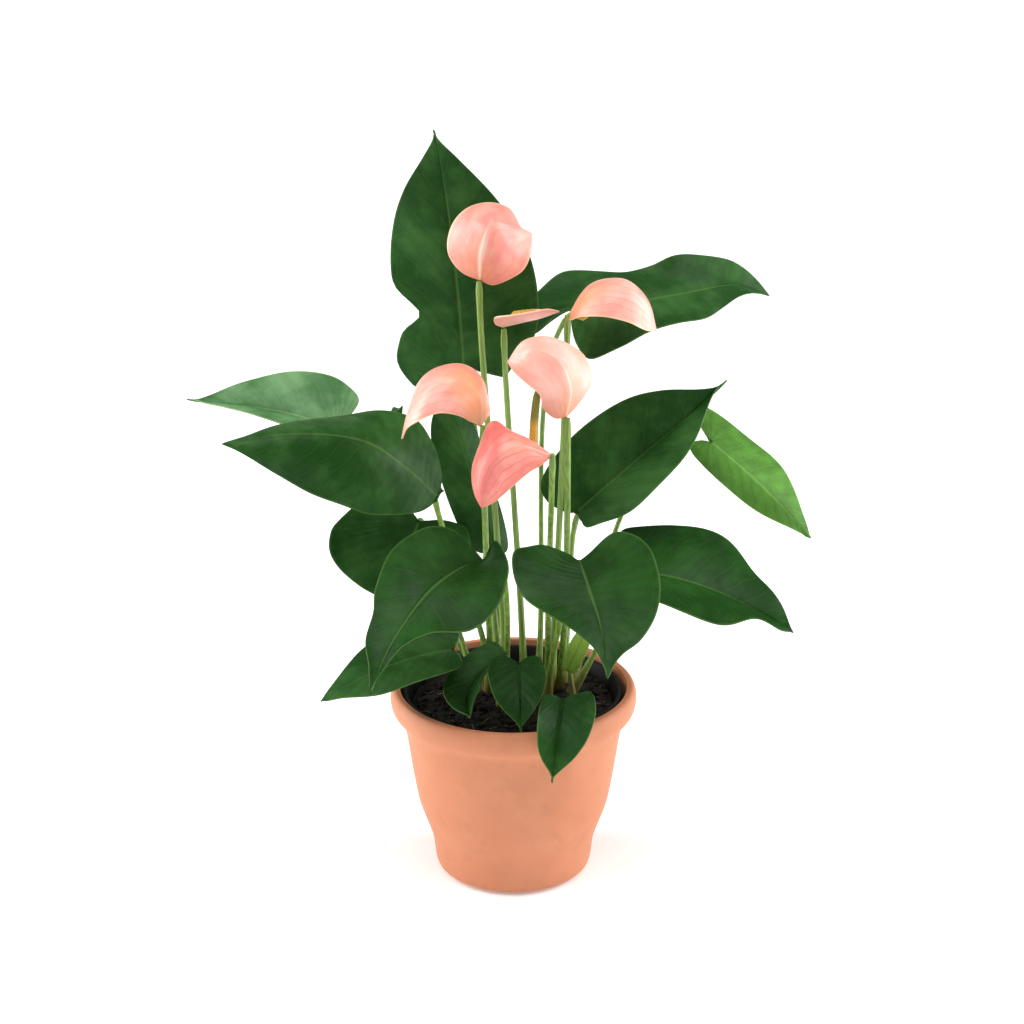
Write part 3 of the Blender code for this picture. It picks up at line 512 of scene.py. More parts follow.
def spathe_finishes(settings, name, deep=0.0, pale=0.0, ridge_and_highlight=0.0, glow=0.4, veins=0.1, spot=None):
    """Inside, outside and cut edge of a spathe: waxy pink, arching veins, cream edge, warm base, and a
    painted highlight along the midrib near the base.
    """
    body = Vector(settings.pink).lerp(Vector(settings.coral), deep)
    light = Vector(settings.pale).lerp(Vector(settings.pink), deep)
    body = body.lerp(light, pale)
    light = light.lerp(Vector(settings.palest), pale * 0.5)
    made = []
    for side in ("inside", "outside"):
        finish = Finish(f"{name}_{side}", 0.38, specular=0.45, coat=0.12, coat_roughness=0.25)
        finish.shader.inputs["Subsurface Weight"].default_value = 0.12
        finish.shader.inputs["Subsurface Radius"].default_value = (1.0, 0.4, 0.3)
        finish.shader.inputs["Subsurface Scale"].default_value = 0.003
        place = finish.place()
        across, along, _ = finish.parts(finish.uv("ribs"))
        x, y, _ = finish.parts(finish.attribute("place"))
        off = finish.maths("MULTIPLY", finish.maths("ABSOLUTE", finish.maths("SUBTRACT", across, 0.5)), 2.0)
        waver = finish.maths("MULTIPLY", finish.noise(place, 60.0, 2.0), 1.6)
        arcs = finish.maths("ADD", finish.maths("MULTIPLY", off, 4.0), waver)
        saw = finish.maths("ABSOLUTE", finish.maths("SUBTRACT", finish.maths("FRACT", arcs), 0.5))
        lines = finish.span(saw, 0.0, 0.16, 1.0, 0.0)
        near = finish.maths("SQRT", finish.maths("ADD", finish.maths("MULTIPLY", x, x),
                                                 finish.maths("MULTIPLY", y, y)))
        warm = finish.span(near, 0.08, 0.6, 1.0, 0.0)
        rim = finish.span(off, 0.92, 1.0)
        # crest: painted highlight along the midrib towards the base, in the palest pink
        crest = finish.maths("MULTIPLY", finish.span(off, 0.02, 0.12, 1.0, 0.0),
                             finish.span(x, 0.3, 0.65, 1.0, 0.0))
        patches = finish.span(finish.noise(place, 48.0, 3.0), 0.35, 0.7)
        shade = finish.blend(patches, body, light)
        shade = finish.blend(finish.maths("MULTIPLY", lines, veins), shade, settings.coral)
        tint = (0.90, 0.36, 0.13) if side == "inside" else (0.92, 0.46, 0.28)
        shade = finish.blend(finish.maths("MULTIPLY", warm, glow), shade, tint)
        shade = finish.blend(finish.maths("MULTIPLY", crest, ridge_and_highlight), shade, settings.palest)
        if spot:
            aside = finish.maths("SUBTRACT", y, spot[1])
            ahead = finish.maths("SUBTRACT", x, spot[0])
            away = finish.maths("SQRT", finish.maths("ADD", finish.maths("MULTIPLY", ahead, ahead),
                                                     finish.maths("MULTIPLY", aside, aside)))
            away = finish.maths("ADD", away, finish.maths("MULTIPLY", patches, 0.05))
            shade = finish.blend(finish.span(away, spot[2] * 0.2, spot[2], 0.6, 0.0), shade, settings.spot)
        shade = finish.blend(finish.maths("MULTIPLY", rim, 0.4), shade, settings.cream)
        finish.colour(shade)
        finish.dullness(finish.span(finish.noise(place, 180.0, 3.0), 0.3, 0.7, 0.32, 0.46))
        height = finish.maths("SUBTRACT", finish.maths("MULTIPLY", finish.noise(place, 800.0, 2.0), 0.2),
                              finish.maths("MULTIPLY", lines, 0.4 if side == "inside" else -0.25))
        finish.relief(height, 0.0003, 0.4)
        made.append(finish.material)
    edge = Finish(f"{name}_edge", 0.45)
    edge.colour(edge.blend(edge.noise(edge.place(), 150.0), settings.cream, light))
    made.append(edge.material)
    return made


def stalk_finish(settings):
    """Green stalk with long streaks, brown at its foot."""
    finish = Finish("stalk", 0.38, specular=0.45)
    place = finish.place()
    _, _, height = finish.parts(place)
    streaks = finish.span(finish.noise(finish.stretched(place, (900.0, 900.0, 45.0)), 1.0, 3.0), 0.35, 0.7)
    shade = finish.blend(streaks, settings.olive, settings.green)
    low = finish.maths("ADD", height, finish.maths("MULTIPLY", finish.noise(place, 220.0, 3.0), 0.03))
    shade = finish.blend(finish.span(low, 0.118, 0.142, 0.75, 0.0), shade, settings.foot)
    finish.colour(shade)
    finish.dullness(finish.span(streaks, 0.0, 1.0, 0.33, 0.5))
    finish.relief(streaks, 0.0002, 0.5)
    return finish.material


def spadix_finish(settings, green_tip):
    """Closely set golden flowerets, a little green towards the tip, with painted shade in the hollows between
    them.
    """
    finish = Finish("spadix_green_tip" if green_tip else "spadix", 0.5, specular=0.4)
    place = finish.place()
    x, knob, _ = finish.parts(finish.attribute("place"))
    gold = finish.blend(finish.noise(place, 300.0), settings.gold, (0.78, 0.50, 0.10))
    start, stop, share = (0.42, 0.62, 1.0) if green_tip else (0.55, 1.0, 0.45)
    shade = finish.blend(finish.span(x, start, stop, 0.0, share), gold, settings.tip_green)
    # painted shade: dark brown in the hollows between the knobs
    shade = finish.blend(finish.span(knob, 0.15, 0.55, 0.45, 0.0), shade, (0.25, 0.11, 0.01))
    finish.colour(shade)
    finish.dullness(finish.span(knob, 0.0, 1.0, 0.65, 0.42))
    finish.relief(finish.noise(place, 1600.0, 2.0), 0.0002, 0.5)
    return finish.material


# ---------------------------------------------------------------- shaping


def deselect():
    """Leaves nothing selected, so that the next operator acts on its own piece alone."""
    bpy.ops.object.select_all(action="DESELECT")


def choose(piece):
    deselect()
    piece.select_set(True)
    bpy.context.view_layer.objects.active = piece


def settle(piece, nodes=(), materials=()):
    """A finished piece: its materials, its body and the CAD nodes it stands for."""
    for material in materials:
        piece.data.materials.append(material)
    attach(piece, BODY)
    if nodes:
        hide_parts(*nodes)
    return piece


def rounded(profile, steps):
    """A smooth line through a profile's points, with so many steps from each point to the next."""
    knots = [Vector(p) for p in profile]
    knots = [2 * knots[0] - knots[1]] + knots + [2 * knots[-1] - knots[-2]]
    line = [knots[1]]
    for a, b, c, d in zip(knots, knots[1:], knots[2:], knots[3:]):
        for i in range(steps):
            t = (i + 1) / steps
            line.append(0.5 * (2 * b + (c - a) * t + (2 * a - 5 * b + 4 * c - d) * t * t
                               + (3 * b - a - 3 * c + d) * t ** 3))
    return line


def throw(name, profile, centre, segments, across=1.0, upward=1.0):
    """Raises a round vessel ring by ring: its foot is extruded up and scaled to each ring of the profile."""
    deselect()
    radius, height = profile[0]
    middle = Vector((centre[0] * MM, centre[1] * MM, height * MM * upward))
    bpy.ops.mesh.primitive_circle_add(vertices=segments, radius=radius * MM * across, fill_type="NGON",
                                      location=middle)
    piece = bpy.context.object
    piece.name = piece.data.name = name
    bpy.ops.object.transform_apply(location=True, rotation=True, scale=True)
    bpy.ops.object.mode_set(mode="EDIT")
    bpy.ops.mesh.select_mode(type="FACE")
    bpy.ops.mesh.select_all(action="SELECT")
    for ring_radius, ring_height in profile[1:]:
        rise = (ring_height - height) * MM * upward
        bpy.ops.mesh.extrude_region_move(TRANSFORM_OT_translate={"value": (0.0, 0.0, rise)})
        middle.z += rise
        growth = ring_radius / radius
        bpy.ops.transform.resize(value=(growth, growth, 1.0), center_override=middle)
        radius, height = ring_radius, ring_height
    bpy.ops.mesh.select_all(action="SELECT")
    bpy.ops.mesh.normals_make_consistent(inside=False)
    bpy.ops.object.mode_set(mode="OBJECT")
    bpy.ops.object.shade_smooth_by_angle(angle=math.radians(60))
    return piece


def smooth_line(knots, share):
    """The point a share of the way along a smooth line through the knots."""
    spans = len(knots) - 1
    k = min(int(share * spans), spans - 1)
    t = share * spans - k
    b, c = knots[k], knots[k + 1]
    a = knots[k - 1] if k else 2 * b - c
    d = knots[k + 2] if k + 2 <= spans else 2 * c - b
    return 0.5 * (2 * b + (c - a) * t + (2 * a - 5 * b + 4 * c - d) * t * t
                  + (3 * b - a - 3 * c + d) * t ** 3)


def outline(lobe, broad, blunt, sinus):
    """Half of a blade's outline, from the stalk joint round the lobe to the tip: (along, across)."""
    rest = 1.0 - broad
    return [Vector(knot) for knot in (
        (0.0, 0.0),
        (-0.55 * lobe, sinus),
        (-lobe, 0.46),
        (-0.72 * lobe, 0.78),
        (0.35 * broad, 0.97),
        (broad, 1.0),
        (broad + 0.30 * rest, 0.90 + 0.04 * blunt),
        (broad + 0.56 * rest, 0.66 + 0.12 * blunt),
        (broad + 0.80 * rest, 0.31 + 0.20 * max(blunt, -0.8)),
        (broad + 0.93 * rest, max(0.02, 0.09 + 0.16 * blunt)),
        (1.0, 0.0),
    )]


class DrawnBlade:
    """A blade with a standard outline, spread over a bowed midrib."""

    def __init__(self, base, tip, left, right, lobes=(0.12, 0.12), broad=0.25, blunt=0.0, sinus=0.16,
                 arch=(0.0, 0.0), sway=(0.0, 0.0), cup=(-0.15, -0.15), sweep=0.5, waves=(), **other):
        self.base, self.tip = Vector(base), Vector(tip)
        self.cup, self.sweep, self.waves = cup, sweep, waves
        self.halves = {side: outline(lobe, broad, blunt, sinus) for side, lobe in zip((-1, 1), lobes)}
        chord = self.tip - self.base
        self.length = chord.length
        self.up = (Vector(right) - Vector(left)).cross(chord).normalized()
        across = chord.normalized().cross(self.up)
        pull = [(self.up * arch[i] + across * sway[i]) * self.length for i in (0, 1)]
        self.knots = [self.base, self.base + chord / 3 + pull[0], self.base + chord * 2 / 3 + pull[1],
                      self.tip]
        middle, along, normal, side = self.frame(broad)
        self.spread = {}
        for sign, edge in ((-1, left), (1, right)):
            away = Vector(edge) - middle
            self.spread[sign] = Vector((away.dot(along), away.dot(side), away.dot(normal)))
        self.width = (self.spread[-1].length + self.spread[1].length) / 2

    def frame(self, s):
        a, b, c, d = self.knots
        o = 1 - s
        place = a * o ** 3 + b * 3 * o * o * s + c * 3 * o * s * s + d * s ** 3
        along = ((b - a) * o * o + (c - b) * 2 * o * s + (d - c) * s * s).normalized()
        normal = (self.up - along * self.up.dot(along)).normalized()
        return place, along, normal, along.cross(normal)

    def point(self, share, side, q):
        """The point a share q of the way out to the edge, on the rib at this share of the outline, and how
        far along and across the blade it lies."""
        ends = {s: smooth_line(self.halves[s], share) for s in (-1, 1)}
        starts = [max(0.0, end.x - self.sweep * end.y * self.width / self.length) for end in ends.values()]
        start = sum(starts) / 2
        x, reach = ends[side]
        for wave_side, place, depth, length in self.waves:
            if wave_side == side:
                reach *= 1 - depth * math.exp(-((x - place) / length) ** 2)
        x = start + (x - start) * q
        out = reach * q
        place, along, normal, across = self.frame(min(max(x, 0.0), 1.0))
        if x < 0:
            place = place + along * x * self.length
        spread = self.spread[side]
        bulge = self.cup[0 if side < 0 else 1] * spread.length * (out * out - out)
        spot = place + along * spread.x * out + across * spread.y * out + normal * (spread.z * out + bulge)
        return spot, Vector((x, side * out, 0.0))


class FramedBlade:
    """A blade held between its midrib and its two edges, each a smooth line through given points."""

    def __init__(self, base, spine, tip, left, right, fold=0.35, early=0.05, lean=1.3, **other):
        self.lines = {side: [Vector(place) for place in (base, *line, tip)]
                      for side, line in ((-1, left), (0, spine), (1, right))}
        self.fold, self.early, self.lean = fold, early, lean
        self.chord = Vector(tip) - Vector(base)
        self.length = self.chord.length
        reaches = [(ends[side] - start).length for start, ends, _ in (self.rib(i / 20) for i in range(21))
                   for side in (-1, 1)]
        self.width = max(reaches)

    def rib(self, share):
        """The rib's start on the midrib, its two ends on the edges, and the way across at its start."""
        start = smooth_line(self.lines[0], max(0.0, (share - self.early) / (1 - self.early)) ** self.lean)
        ends = {side: smooth_line(self.lines[side], share) for side in (-1, 1)}
        across = (ends[1] - start).normalized() - (ends[-1] - start).normalized()
        return start, ends, across.normalized()

    def frame(self, s):
        line = self.lines[0]
        place = smooth_line(line, s)
        along = (smooth_line(line, s + 0.02) - place).normalized()
        across = self.rib(0.4)[2]
        normal = across.cross(along).normalized()
        return place, along, normal, across

    def point(self, share, side, q):
        start, ends, across = self.rib(share)
        reach = ends[side] - start
        level = across * side * reach.length
        control = start + (reach * self.fold + level * (1 - self.fold)) / 2
        spot = start * (1 - q) ** 2 + control * 2 * q * (1 - q) + ends[side] * q * q
        x = (spot - self.lines[0][0]).dot(self.chord) / self.length ** 2
        return spot, Vector((x, side * q * reach.length / self.width, 0.0))


def blade_of(spec):
    return FramedBlade(**spec) if "spine" in spec else DrawnBlade(**spec)


def lay_blade(name, blade, rows, columns, thickness, swell, rib_depth):
    """Lays a fine grid over a blade's surface and thickens it. Rows are ribs from the midrib to the edge,
    and columns run from base to tip. swell(along, off, side) lifts the surface and is 0 at the base;
    rib_depth is how far the midrib stands out below."""
    deselect()
    bpy.ops.mesh.primitive_grid_add(x_subdivisions=2 * columns, y_subdivisions=rows - 1, size=2.0)
    piece = bpy.context.object
    piece.name = piece.data.name = name
    mesh = piece.data
    count = len(mesh.vertices)
    ribs, places = [None] * count, [None] * count
    for vert in mesh.vertices:
        share = round((vert.co.y + 1) / 2 * (rows - 1)) / (rows - 1)
        column = round(vert.co.x * columns)
        side = 1 if column > 0 else -1
        off = (abs(column) / columns) ** COLUMN_CROWDING
        spot, where = blade.point(share, side, off)
        if column == 0:
            spot = (spot + blade.point(share, 1, 0.0)[0]) / 2
        vert.co = spot * MM
        ribs[vert.index] = (0.5 + side * off / 2, share)
        places[vert.index] = where
    mesh.update()
    normals = [vert.normal.copy() for vert in mesh.vertices]
    for vert in mesh.vertices:
        across, along = ribs[vert.index]
        lift = swell(along, 2 * abs(across - 0.5), 1 if across > 0.5 else -1, places[vert.index], vert.co)
        vert.co += normals[vert.index] * lift
    layer = mesh.uv_layers[0]
    layer.name = "ribs"
    for loop in mesh.loops:
        layer.data[loop.index].uv = ribs[loop.vertex_index]
    held = mesh.attributes.new("place", "FLOAT_VECTOR", "POINT")
    held.data.foreach_set("vector", [number for where in places for number in where])
    bpy.ops.object.mode_set(mode="EDIT")
    bpy.ops.mesh.select_all(action="SELECT")
    bpy.ops.mesh.remove_doubles(threshold=0.00002)
    bpy.ops.object.mode_set(mode="OBJECT")
    count = len(mesh.vertices)
    solid = piece.modifiers.new("Thickness", "SOLIDIFY")
    solid.thickness = thickness
    solid.offset = 0.0
    solid.material_offset = 1
    solid.material_offset_rim = 2
    for _ in range(3):
        mesh.materials.append(None)
    bpy.ops.object.modifier_apply(modifier=solid.name)
    mesh = piece.data
    mesh.materials.clear()
    mesh.update()
    held = mesh.attributes["place"]
    rise = {}
    for vert in mesh.vertices[count:]:
        x, y, _ = held.data[vert.index].vector
        x = max(0.0, min(x, 1.0))
        span = abs(y) * blade.width * MM / (RIDGE_WIDTH * (1.25 - 0.75 * x))
        rise[vert.index] = vert.normal * rib_depth * math.exp(-span * span) * (1.0 - 0.8 * x)
    for index, step in rise.items():
        mesh.vertices[index].co += step
    mesh.update()
    bpy.ops.object.shade_smooth_by_angle(angle=math.radians(70))
    return piece


def leaf_swell(settings, blade, seed):
    """How a leaf's surface swells between its side veins, dips at its midrib and waves at its edge."""
    size = min(1.0, blade.length / 90.0)
    shift = Vector((seed * 3.7, seed * 1.3, seed * 5.1))

    def swell(along, off, side, where, spot):
        fade = min(1.0, max(0.0, where.x + abs(where.y)) * 8.0)
        tip = min(1.0, (1.0 - along) * 12.0)
        quilt = settings.quilting * math.cos(2 * math.pi * (along * SIDE_VEINS - 0.9 * off + 0.5))
        quilt *= math.sin(math.pi * min(1.0, off * 1.05)) ** 0.7 if off < 0.95 else 0.0
        trough = -0.00035 * math.exp(-(off * 18.0) ** 2)
        ripple = settings.ripple * off ** 3 * math.sin(along * 21.0 + side * 1.3 + seed)
        broad = 0.0022 * off * noise.noise(spot * 22.0 + shift)
        return (quilt + trough + (ripple + broad) * size) * fade * tip

    return swell


def spathe_swell(seed, ridge_and_highlight):
    """How a spathe's surface puckers along its arching veins."""
    shift = Vector((seed * 2.9, seed * 4.1, seed * 1.7))

    def swell(along, off, side, where, spot):
        fade = min(1.0, max(0.0, where.x + abs(where.y)) * 5.0)
        tip = min(1.0, (1.0 - along) * 10.0)
        arcs = 0.00006 * math.cos(2 * math.pi * off * 4.0)
        crest = 0.001 * ridge_and_highlight * math.exp(-(off * 9.0) ** 2) * (1.0 - max(0.0, min(1.0, where.x * 1.4)))
        broad = 0.0009 * off * noise.noise(spot * 45.0 + shift)
        return (arcs + crest + broad) * fade * tip

    return swell


def stalk_line(foot, end, arrive, bow, pull=0.18, count=STALK_POINTS):
    """From under the soil's top up to `end`, which it reaches going the way of `arrive`."""
    start = Vector((foot[0], foot[1], SOIL_TOP_Z + 1.2))
    span = (end - start).length
    first = start + (end - start) * 0.33 + Vector((bow[0], bow[1], 0.0))
    second = end - arrive * span * pull
    points = [start - (first - start).normalized() * 4.0]
    for i in range(count):
        s = i / (count - 1)
        o = 1 - s
        points.append(start * o ** 3 + first * 3 * o * o * s + second * 3 * o * s * s + end * s ** 3)
    return points


def draw_stalk(name, points, radii):
    """A round stalk along a line, thick at its sheathed foot and at the joint below the blade."""
    deselect()
    curve = bpy.data.curves.new(name, "CURVE")
    curve.dimensions = "3D"
    curve.bevel_depth = MM
    curve.bevel_resolution = 3
    curve.use_fill_caps = True
    spline = curve.splines.new("POLY")
    spline.points.add(len(points) - 1)
    for spot, place, radius in zip(spline.points, points, radii):
        spot.co = (*(place * MM), 1.0)
        spot.radius = radius
    piece = bpy.data.objects.new(name, curve)
    bpy.context.scene.collection.objects.link(piece)
    choose(piece)
    bpy.ops.object.convert(target="MESH")
    piece = bpy.context.object
    piece.name = piece.data.name = name
    bpy.ops.object.mode_set(mode="EDIT")
    bpy.ops.mesh.select_all(action="SELECT")
    bpy.ops.mesh.remove_doubles(threshold=0.00001)
    bpy.ops.mesh.normals_make_consistent(inside=False)
    bpy.ops.object.mode_set(mode="OBJECT")
    bpy.ops.object.shade_smooth_by_angle(angle=math.radians(60))
    return piece


def stalk_radii(points, radius, sheath):
    """Half thickness along a stalk: a sheath swells its foot, a knuckle swells its top."""
    run = [0.0]
    for here, after in zip(points, points[1:]):
        run.append(run[-1] + (after - here).length)
    radii = []
    for at in run:
        left = run[-1] - at
        body = radius * (1.18 - 0.22 * min(1.0, at / run[-1] * 2.0))
        foot = radius * sheath * math.exp(-(at / 15.0) ** 2)
        knuckle = radius * 0.20 * math.exp(-((left - 7.0) / 4.0) ** 2)
        neck = 1.0 - 0.12 * math.exp(-(left / 3.0) ** 2)
        radii.append((body + foot + knuckle) * neck)
    return radii


def stalk_end(blade, radius, thickness):
    """Where a stalk meets its blade's base from below."""
    place, along, normal, across = blade.frame(0.0)
    return place - normal * (radius * 0.75 + thickness / 2) + along * 0.4


def form_spadix(name, foot, start, way, radius):
    """A knobbed spike: a ball drawn out along its line, set with flowerets in crossing spirals."""
    deselect()
    bpy.ops.mesh.primitive_uv_sphere_add(segments=SPADIX_AROUND, ring_count=SPADIX_RINGS, radius=1.0)
    piece = bpy.context.object
    piece.name = piece.data.name = name
    length = way.length
    axis = way.normalized()
    aside = axis.orthogonal().normalized()
    other = axis.cross(aside)
    knobs_around = 8
    knobs_along = round(length / 2.3)
    places = []
    for vert in piece.data.vertices:
        t = math.acos(max(-1.0, min(1.0, -vert.co.z))) / math.pi
        turn = math.atan2(vert.co.y, vert.co.x)
        fall = math.sqrt(max(0.0, 1.0 - ((t - 0.82) / 0.18) ** 2)) if t > 0.82 else 1.0
        body = radius * (0.55 + 0.45 * min(1.0, t * 9.0)) * (1.0 - 0.28 * t) * fall * min(1.0, t * 60.0)
        one = 0.5 + 0.5 * math.cos(knobs_around * turn + 2 * math.pi * knobs_along * t)
        two = 0.5 + 0.5 * math.cos(knobs_around * turn - 2 * math.pi * knobs_along * t)
        knob = one * two
        lift = 0.42 * knob * fall * min(1.0, t * 12.0)
        bend = other * math.sin(math.pi * t) * length * 0.03
        centre = foot.lerp(start, min(1.0, t / 0.07)) + way * max(0.0, (t - 0.07) / 0.93) + bend
        out = aside * math.cos(turn) + other * math.sin(turn)
        vert.co = (centre + out * (body + lift)) * MM
        places += [t, knob, 0.0]
    held = piece.data.attributes.new("place", "FLOAT_VECTOR", "POINT")
    held.data.foreach_set("vector", places)
    piece.data.update()
    bpy.ops.object.mode_set(mode="EDIT")
    bpy.ops.mesh.select_all(action="SELECT")
    bpy.ops.mesh.normals_make_consistent(inside=False)
    bpy.ops.object.mode_set(mode="OBJECT")
    bpy.ops.object.shade_smooth()
    return piece


def joined(name, pieces):
    """Several loose bits made into one piece."""
    deselect()
    for piece in pieces:
        piece.select_set(True)
    bpy.context.view_layer.objects.active = pieces[0]
    bpy.ops.object.join()
    whole = bpy.context.object
    whole.name = whole.data.name = name
    return whole


def scattered(model, matrices):
    """Copies of a model, each with its own mesh, moved to their places."""
    copies = []
    for matrix in matrices:
        copy = model.copy()
        copy.data = model.data.copy()
        copy.data.transform(matrix)
        bpy.context.scene.collection.objects.link(copy)
        copies.append(copy)
    bpy.data.objects.remove(model)
    return copies


def soil_lump(spot, lump):
    """How far the soil's top stands above its mean at a place."""
    coarse = noise.noise(Vector((spot.x * 75.0, spot.y * 75.0, 0.3)))
    fine = noise.noise(Vector((spot.x * 240.0, spot.y * 240.0, 1.7)))
    grit = noise.noise(Vector((spot.x * 620.0, spot.y * 620.0, 4.1)))
    return lump * (coarse + 0.55 * fine + 0.28 * grit)


def soil_height(x, y, lump):
    """The soil's top in metres at a place."""
    off = math.hypot(x / MM - GROW_CENTRE[0], y / MM - GROW_CENTRE[1])
    mean = SOIL_TOP_Z - (SOIL_TOP_Z - SOIL_EDGE_Z) * (off / SOIL_RADIUS) ** 2
    return mean * MM + soil_lump(Vector((x, y, 0.0)), lump)


# ---------------------------------------------------------------- operators


class ANTHURIUM_OT_cover_pot(bpy.types.Operator):
    """Make the terracotta-coloured cover pot"""

    bl_idname = "anthurium.cover_pot"
    bl_label = "Cover pot"
    bl_options = {"REGISTER", "UNDO"}

    def execute(self, context):
        settings = context.scene.anthurium_pot
        widest, tallest = max(r for r, z in COVER_OUTSIDE), max(z for r, z in COVER_OUTSIDE)
        profile = rounded(COVER_OUTSIDE + COVER_INSIDE, 3)
        piece = throw("cover_pot", profile, (0.0, 0.0), settings.segments,
                      settings.rim_radius / (widest * MM), settings.height / (tallest * MM))
        settle(piece, ("outer_pot",), (clay_finish(settings),))
        return {"FINISHED"}


class ANTHURIUM_OT_inner_pot(bpy.types.Operator):
    """Make the thin black grow pot inside the cover pot"""

    bl_idname = "anthurium.inner_pot"
    bl_label = "Grow pot"
    bl_options = {"REGISTER", "UNDO"}

    def execute(self, context):
        settings = context.scene.anthurium_pot
        piece = throw("inner_pot", GROW_PROFILE, GROW_CENTRE, settings.segments)
        settle(piece, ("grow_pot",), (grow_pot_finish(settings),))
        return {"FINISHED"}


class ANTHURIUM_OT_soil(bpy.types.Operator):
    """Make the soil, with its crumbs and fibres"""

    bl_idname = "anthurium.soil"
    bl_label = "Soil"
    bl_options = {"REGISTER", "UNDO"}

    def execute(self, context):
        settings = context.scene.anthurium_soil
        self.make_mound(settings)
        self.make_crumbs(settings)
        self.make_fibres(settings)
        return {"FINISHED"}

    def make_mound(self, settings):
        radius = SOIL_PROFILE[-1][0]
        rings = [(radius * (1 - i / 48), SOIL_EDGE_Z + (SOIL_TOP_Z - SOIL_EDGE_Z) * (1 - (1 - i / 48) ** 2))
                 for i in range(48)]
        piece = throw("soil_mound", SOIL_PROFILE + tuple(rings), GROW_CENTRE, 160)
        for vert in piece.data.vertices:
            if vert.co.z > (SOIL_EDGE_Z - 0.5) * MM:
                vert.co.z += soil_lump(vert.co, settings.lump)
        piece.data.update()
        peat = soil_finish(settings, "peat", settings.peat, settings.bark, 260.0)
        settle(piece, ("soil",), (peat,))

    def make_crumbs(self, settings):
        chance = random.Random(7)
        for name, share, low, high, colours in (
                ("soil_crumbs", 1.0, 0.8, 2.5, (settings.peat, settings.bark)),
                ("soil_pale_bits", 0.13, 0.35, 1.0, (settings.bark, settings.straw))):
            deselect()
            bpy.ops.mesh.primitive_ico_sphere_add(subdivisions=1, radius=MM)
            model = bpy.context.object
            for vert in model.data.vertices:
                vert.co *= chance.uniform(0.7, 1.25)
            matrices = []
            for _ in range(int(settings.crumbs * share)):
                off = 55.4 * math.sqrt(chance.random())
                turn = chance.uniform(0.0, 2 * math.pi)
                x = (GROW_CENTRE[0] + off * math.cos(turn)) * MM
                y = (GROW_CENTRE[1] + off * math.sin(turn)) * MM
                size = chance.uniform(low, high) * (1.0 if chance.random() < 0.8 else 1.35)
                z = soil_height(x, y, settings.lump) + size * 0.25 * MM
                spin = Matrix.Rotation(chance.uniform(0, 6.28), 4, "Z")
                spin = spin @ Matrix.Rotation(chance.uniform(0, 6.28), 4, "X")
                length, height = size * chance.uniform(0.7, 1.5), size * chance.uniform(0.45, 0.9)
                stretch = Matrix.Diagonal((length, size, height, 1.0))
                matrices.append(Matrix.Translation((x, y, z)) @ spin @ stretch)
            piece = joined(name, scattered(model, matrices))
            settle(piece, (), (soil_finish(settings, name, *colours, 420.0),))

    def make_fibres(self, settings):
        chance = random.Random(11)
        fibres = []
        for i in range(settings.fibres):
            off = 53.0 * math.sqrt(chance.random())
            turn = chance.uniform(0.0, 2 * math.pi)
            place = Vector((GROW_CENTRE[0] + off * math.cos(turn), GROW_CENTRE[1] + off * math.sin(turn),
                            0.0))
            heading = chance.uniform(0.0, 2 * math.pi)
            step = chance.uniform(0.9, 2.2)
            points = []
            for k in range(8):
                heading += chance.uniform(-0.45, 0.45)
                place = place + Vector((math.cos(heading), math.sin(heading), 0.0)) * step
                if math.hypot(place.x - GROW_CENTRE[0], place.y - GROW_CENTRE[1]) > 55.4:
                    break
                level = soil_height(place.x * MM, place.y * MM, settings.lump) / MM
                points.append(Vector((place.x, place.y, level + 0.7 + 0.5 * math.sin(k * 0.9))))
            if len(points) > 3:
                thin = chance.uniform(0.16, 0.34)
                fibres.append(draw_stalk(f"soil_fibre_{i}", points, [thin] * len(points)))
        piece = joined("soil_fibres", fibres)
        straw = soil_finish(settings, "straw", tuple(0.35 * c for c in settings.straw), settings.straw, 500.0)
        settle(piece, (), (straw,))


class ANTHURIUM_OT_leaf_blades(bpy.types.Operator):
    """Make the leaf blades"""

    bl_idname = "anthurium.leaf_blades"
    bl_label = "Leaf blades"
    bl_options = {"REGISTER", "UNDO"}

    def execute(self, context):
        settings = context.scene.anthurium_leaf
        finishes = {leaf_kind: leaf_finishes(settings, leaf_kind) for leaf_kind in ("grown", "painted_shade", "pale", "young_and_backlit", "new")}
        for seed, (name, spec) in enumerate(LEAVES.items()):
            blade = blade_of(spec)
            piece = lay_blade(name.replace("leaf", "blade"), blade, LEAF_ROWS, LEAF_COLUMNS,
                              settings.thickness, leaf_swell(settings, blade, seed), MIDRIB_RIDGE["leaf"])
            leaf_kind = LEAF_FINISH_KINDS.get(name, "grown")
            settle(piece, (name + "_blade",), finishes[leaf_kind])
        return {"FINISHED"}


class ANTHURIUM_OT_petioles(bpy.types.Operator):
    """Make the leaf stalks"""

    bl_idname = "anthurium.petioles"
    bl_label = "Leaf stalks"
    bl_options = {"REGISTER", "UNDO"}

    def execute(self, context):
        finish = stalk_finish(context.scene.anthurium_stalk)
        thickness = context.scene.anthurium_leaf.thickness / MM
        for name, spec in LEAVES.items():
            blade = blade_of(spec)
            place, along, normal, across = blade.frame(0.0)
            arrive = (along * 0.6 + normal * 0.5).normalized()
            end = stalk_end(blade, spec["radius"], thickness)
            points = stalk_line(spec["foot"], end, arrive, spec["bow"], spec.get("pull", 0.18))
            radii = stalk_radii(points, spec["radius"], SHEATH["petiole"])
            piece = draw_stalk(name.replace("leaf", "petiole"), points, radii)
            settle(piece, (name + "_petiole",), (finish,))
        return {"FINISHED"}


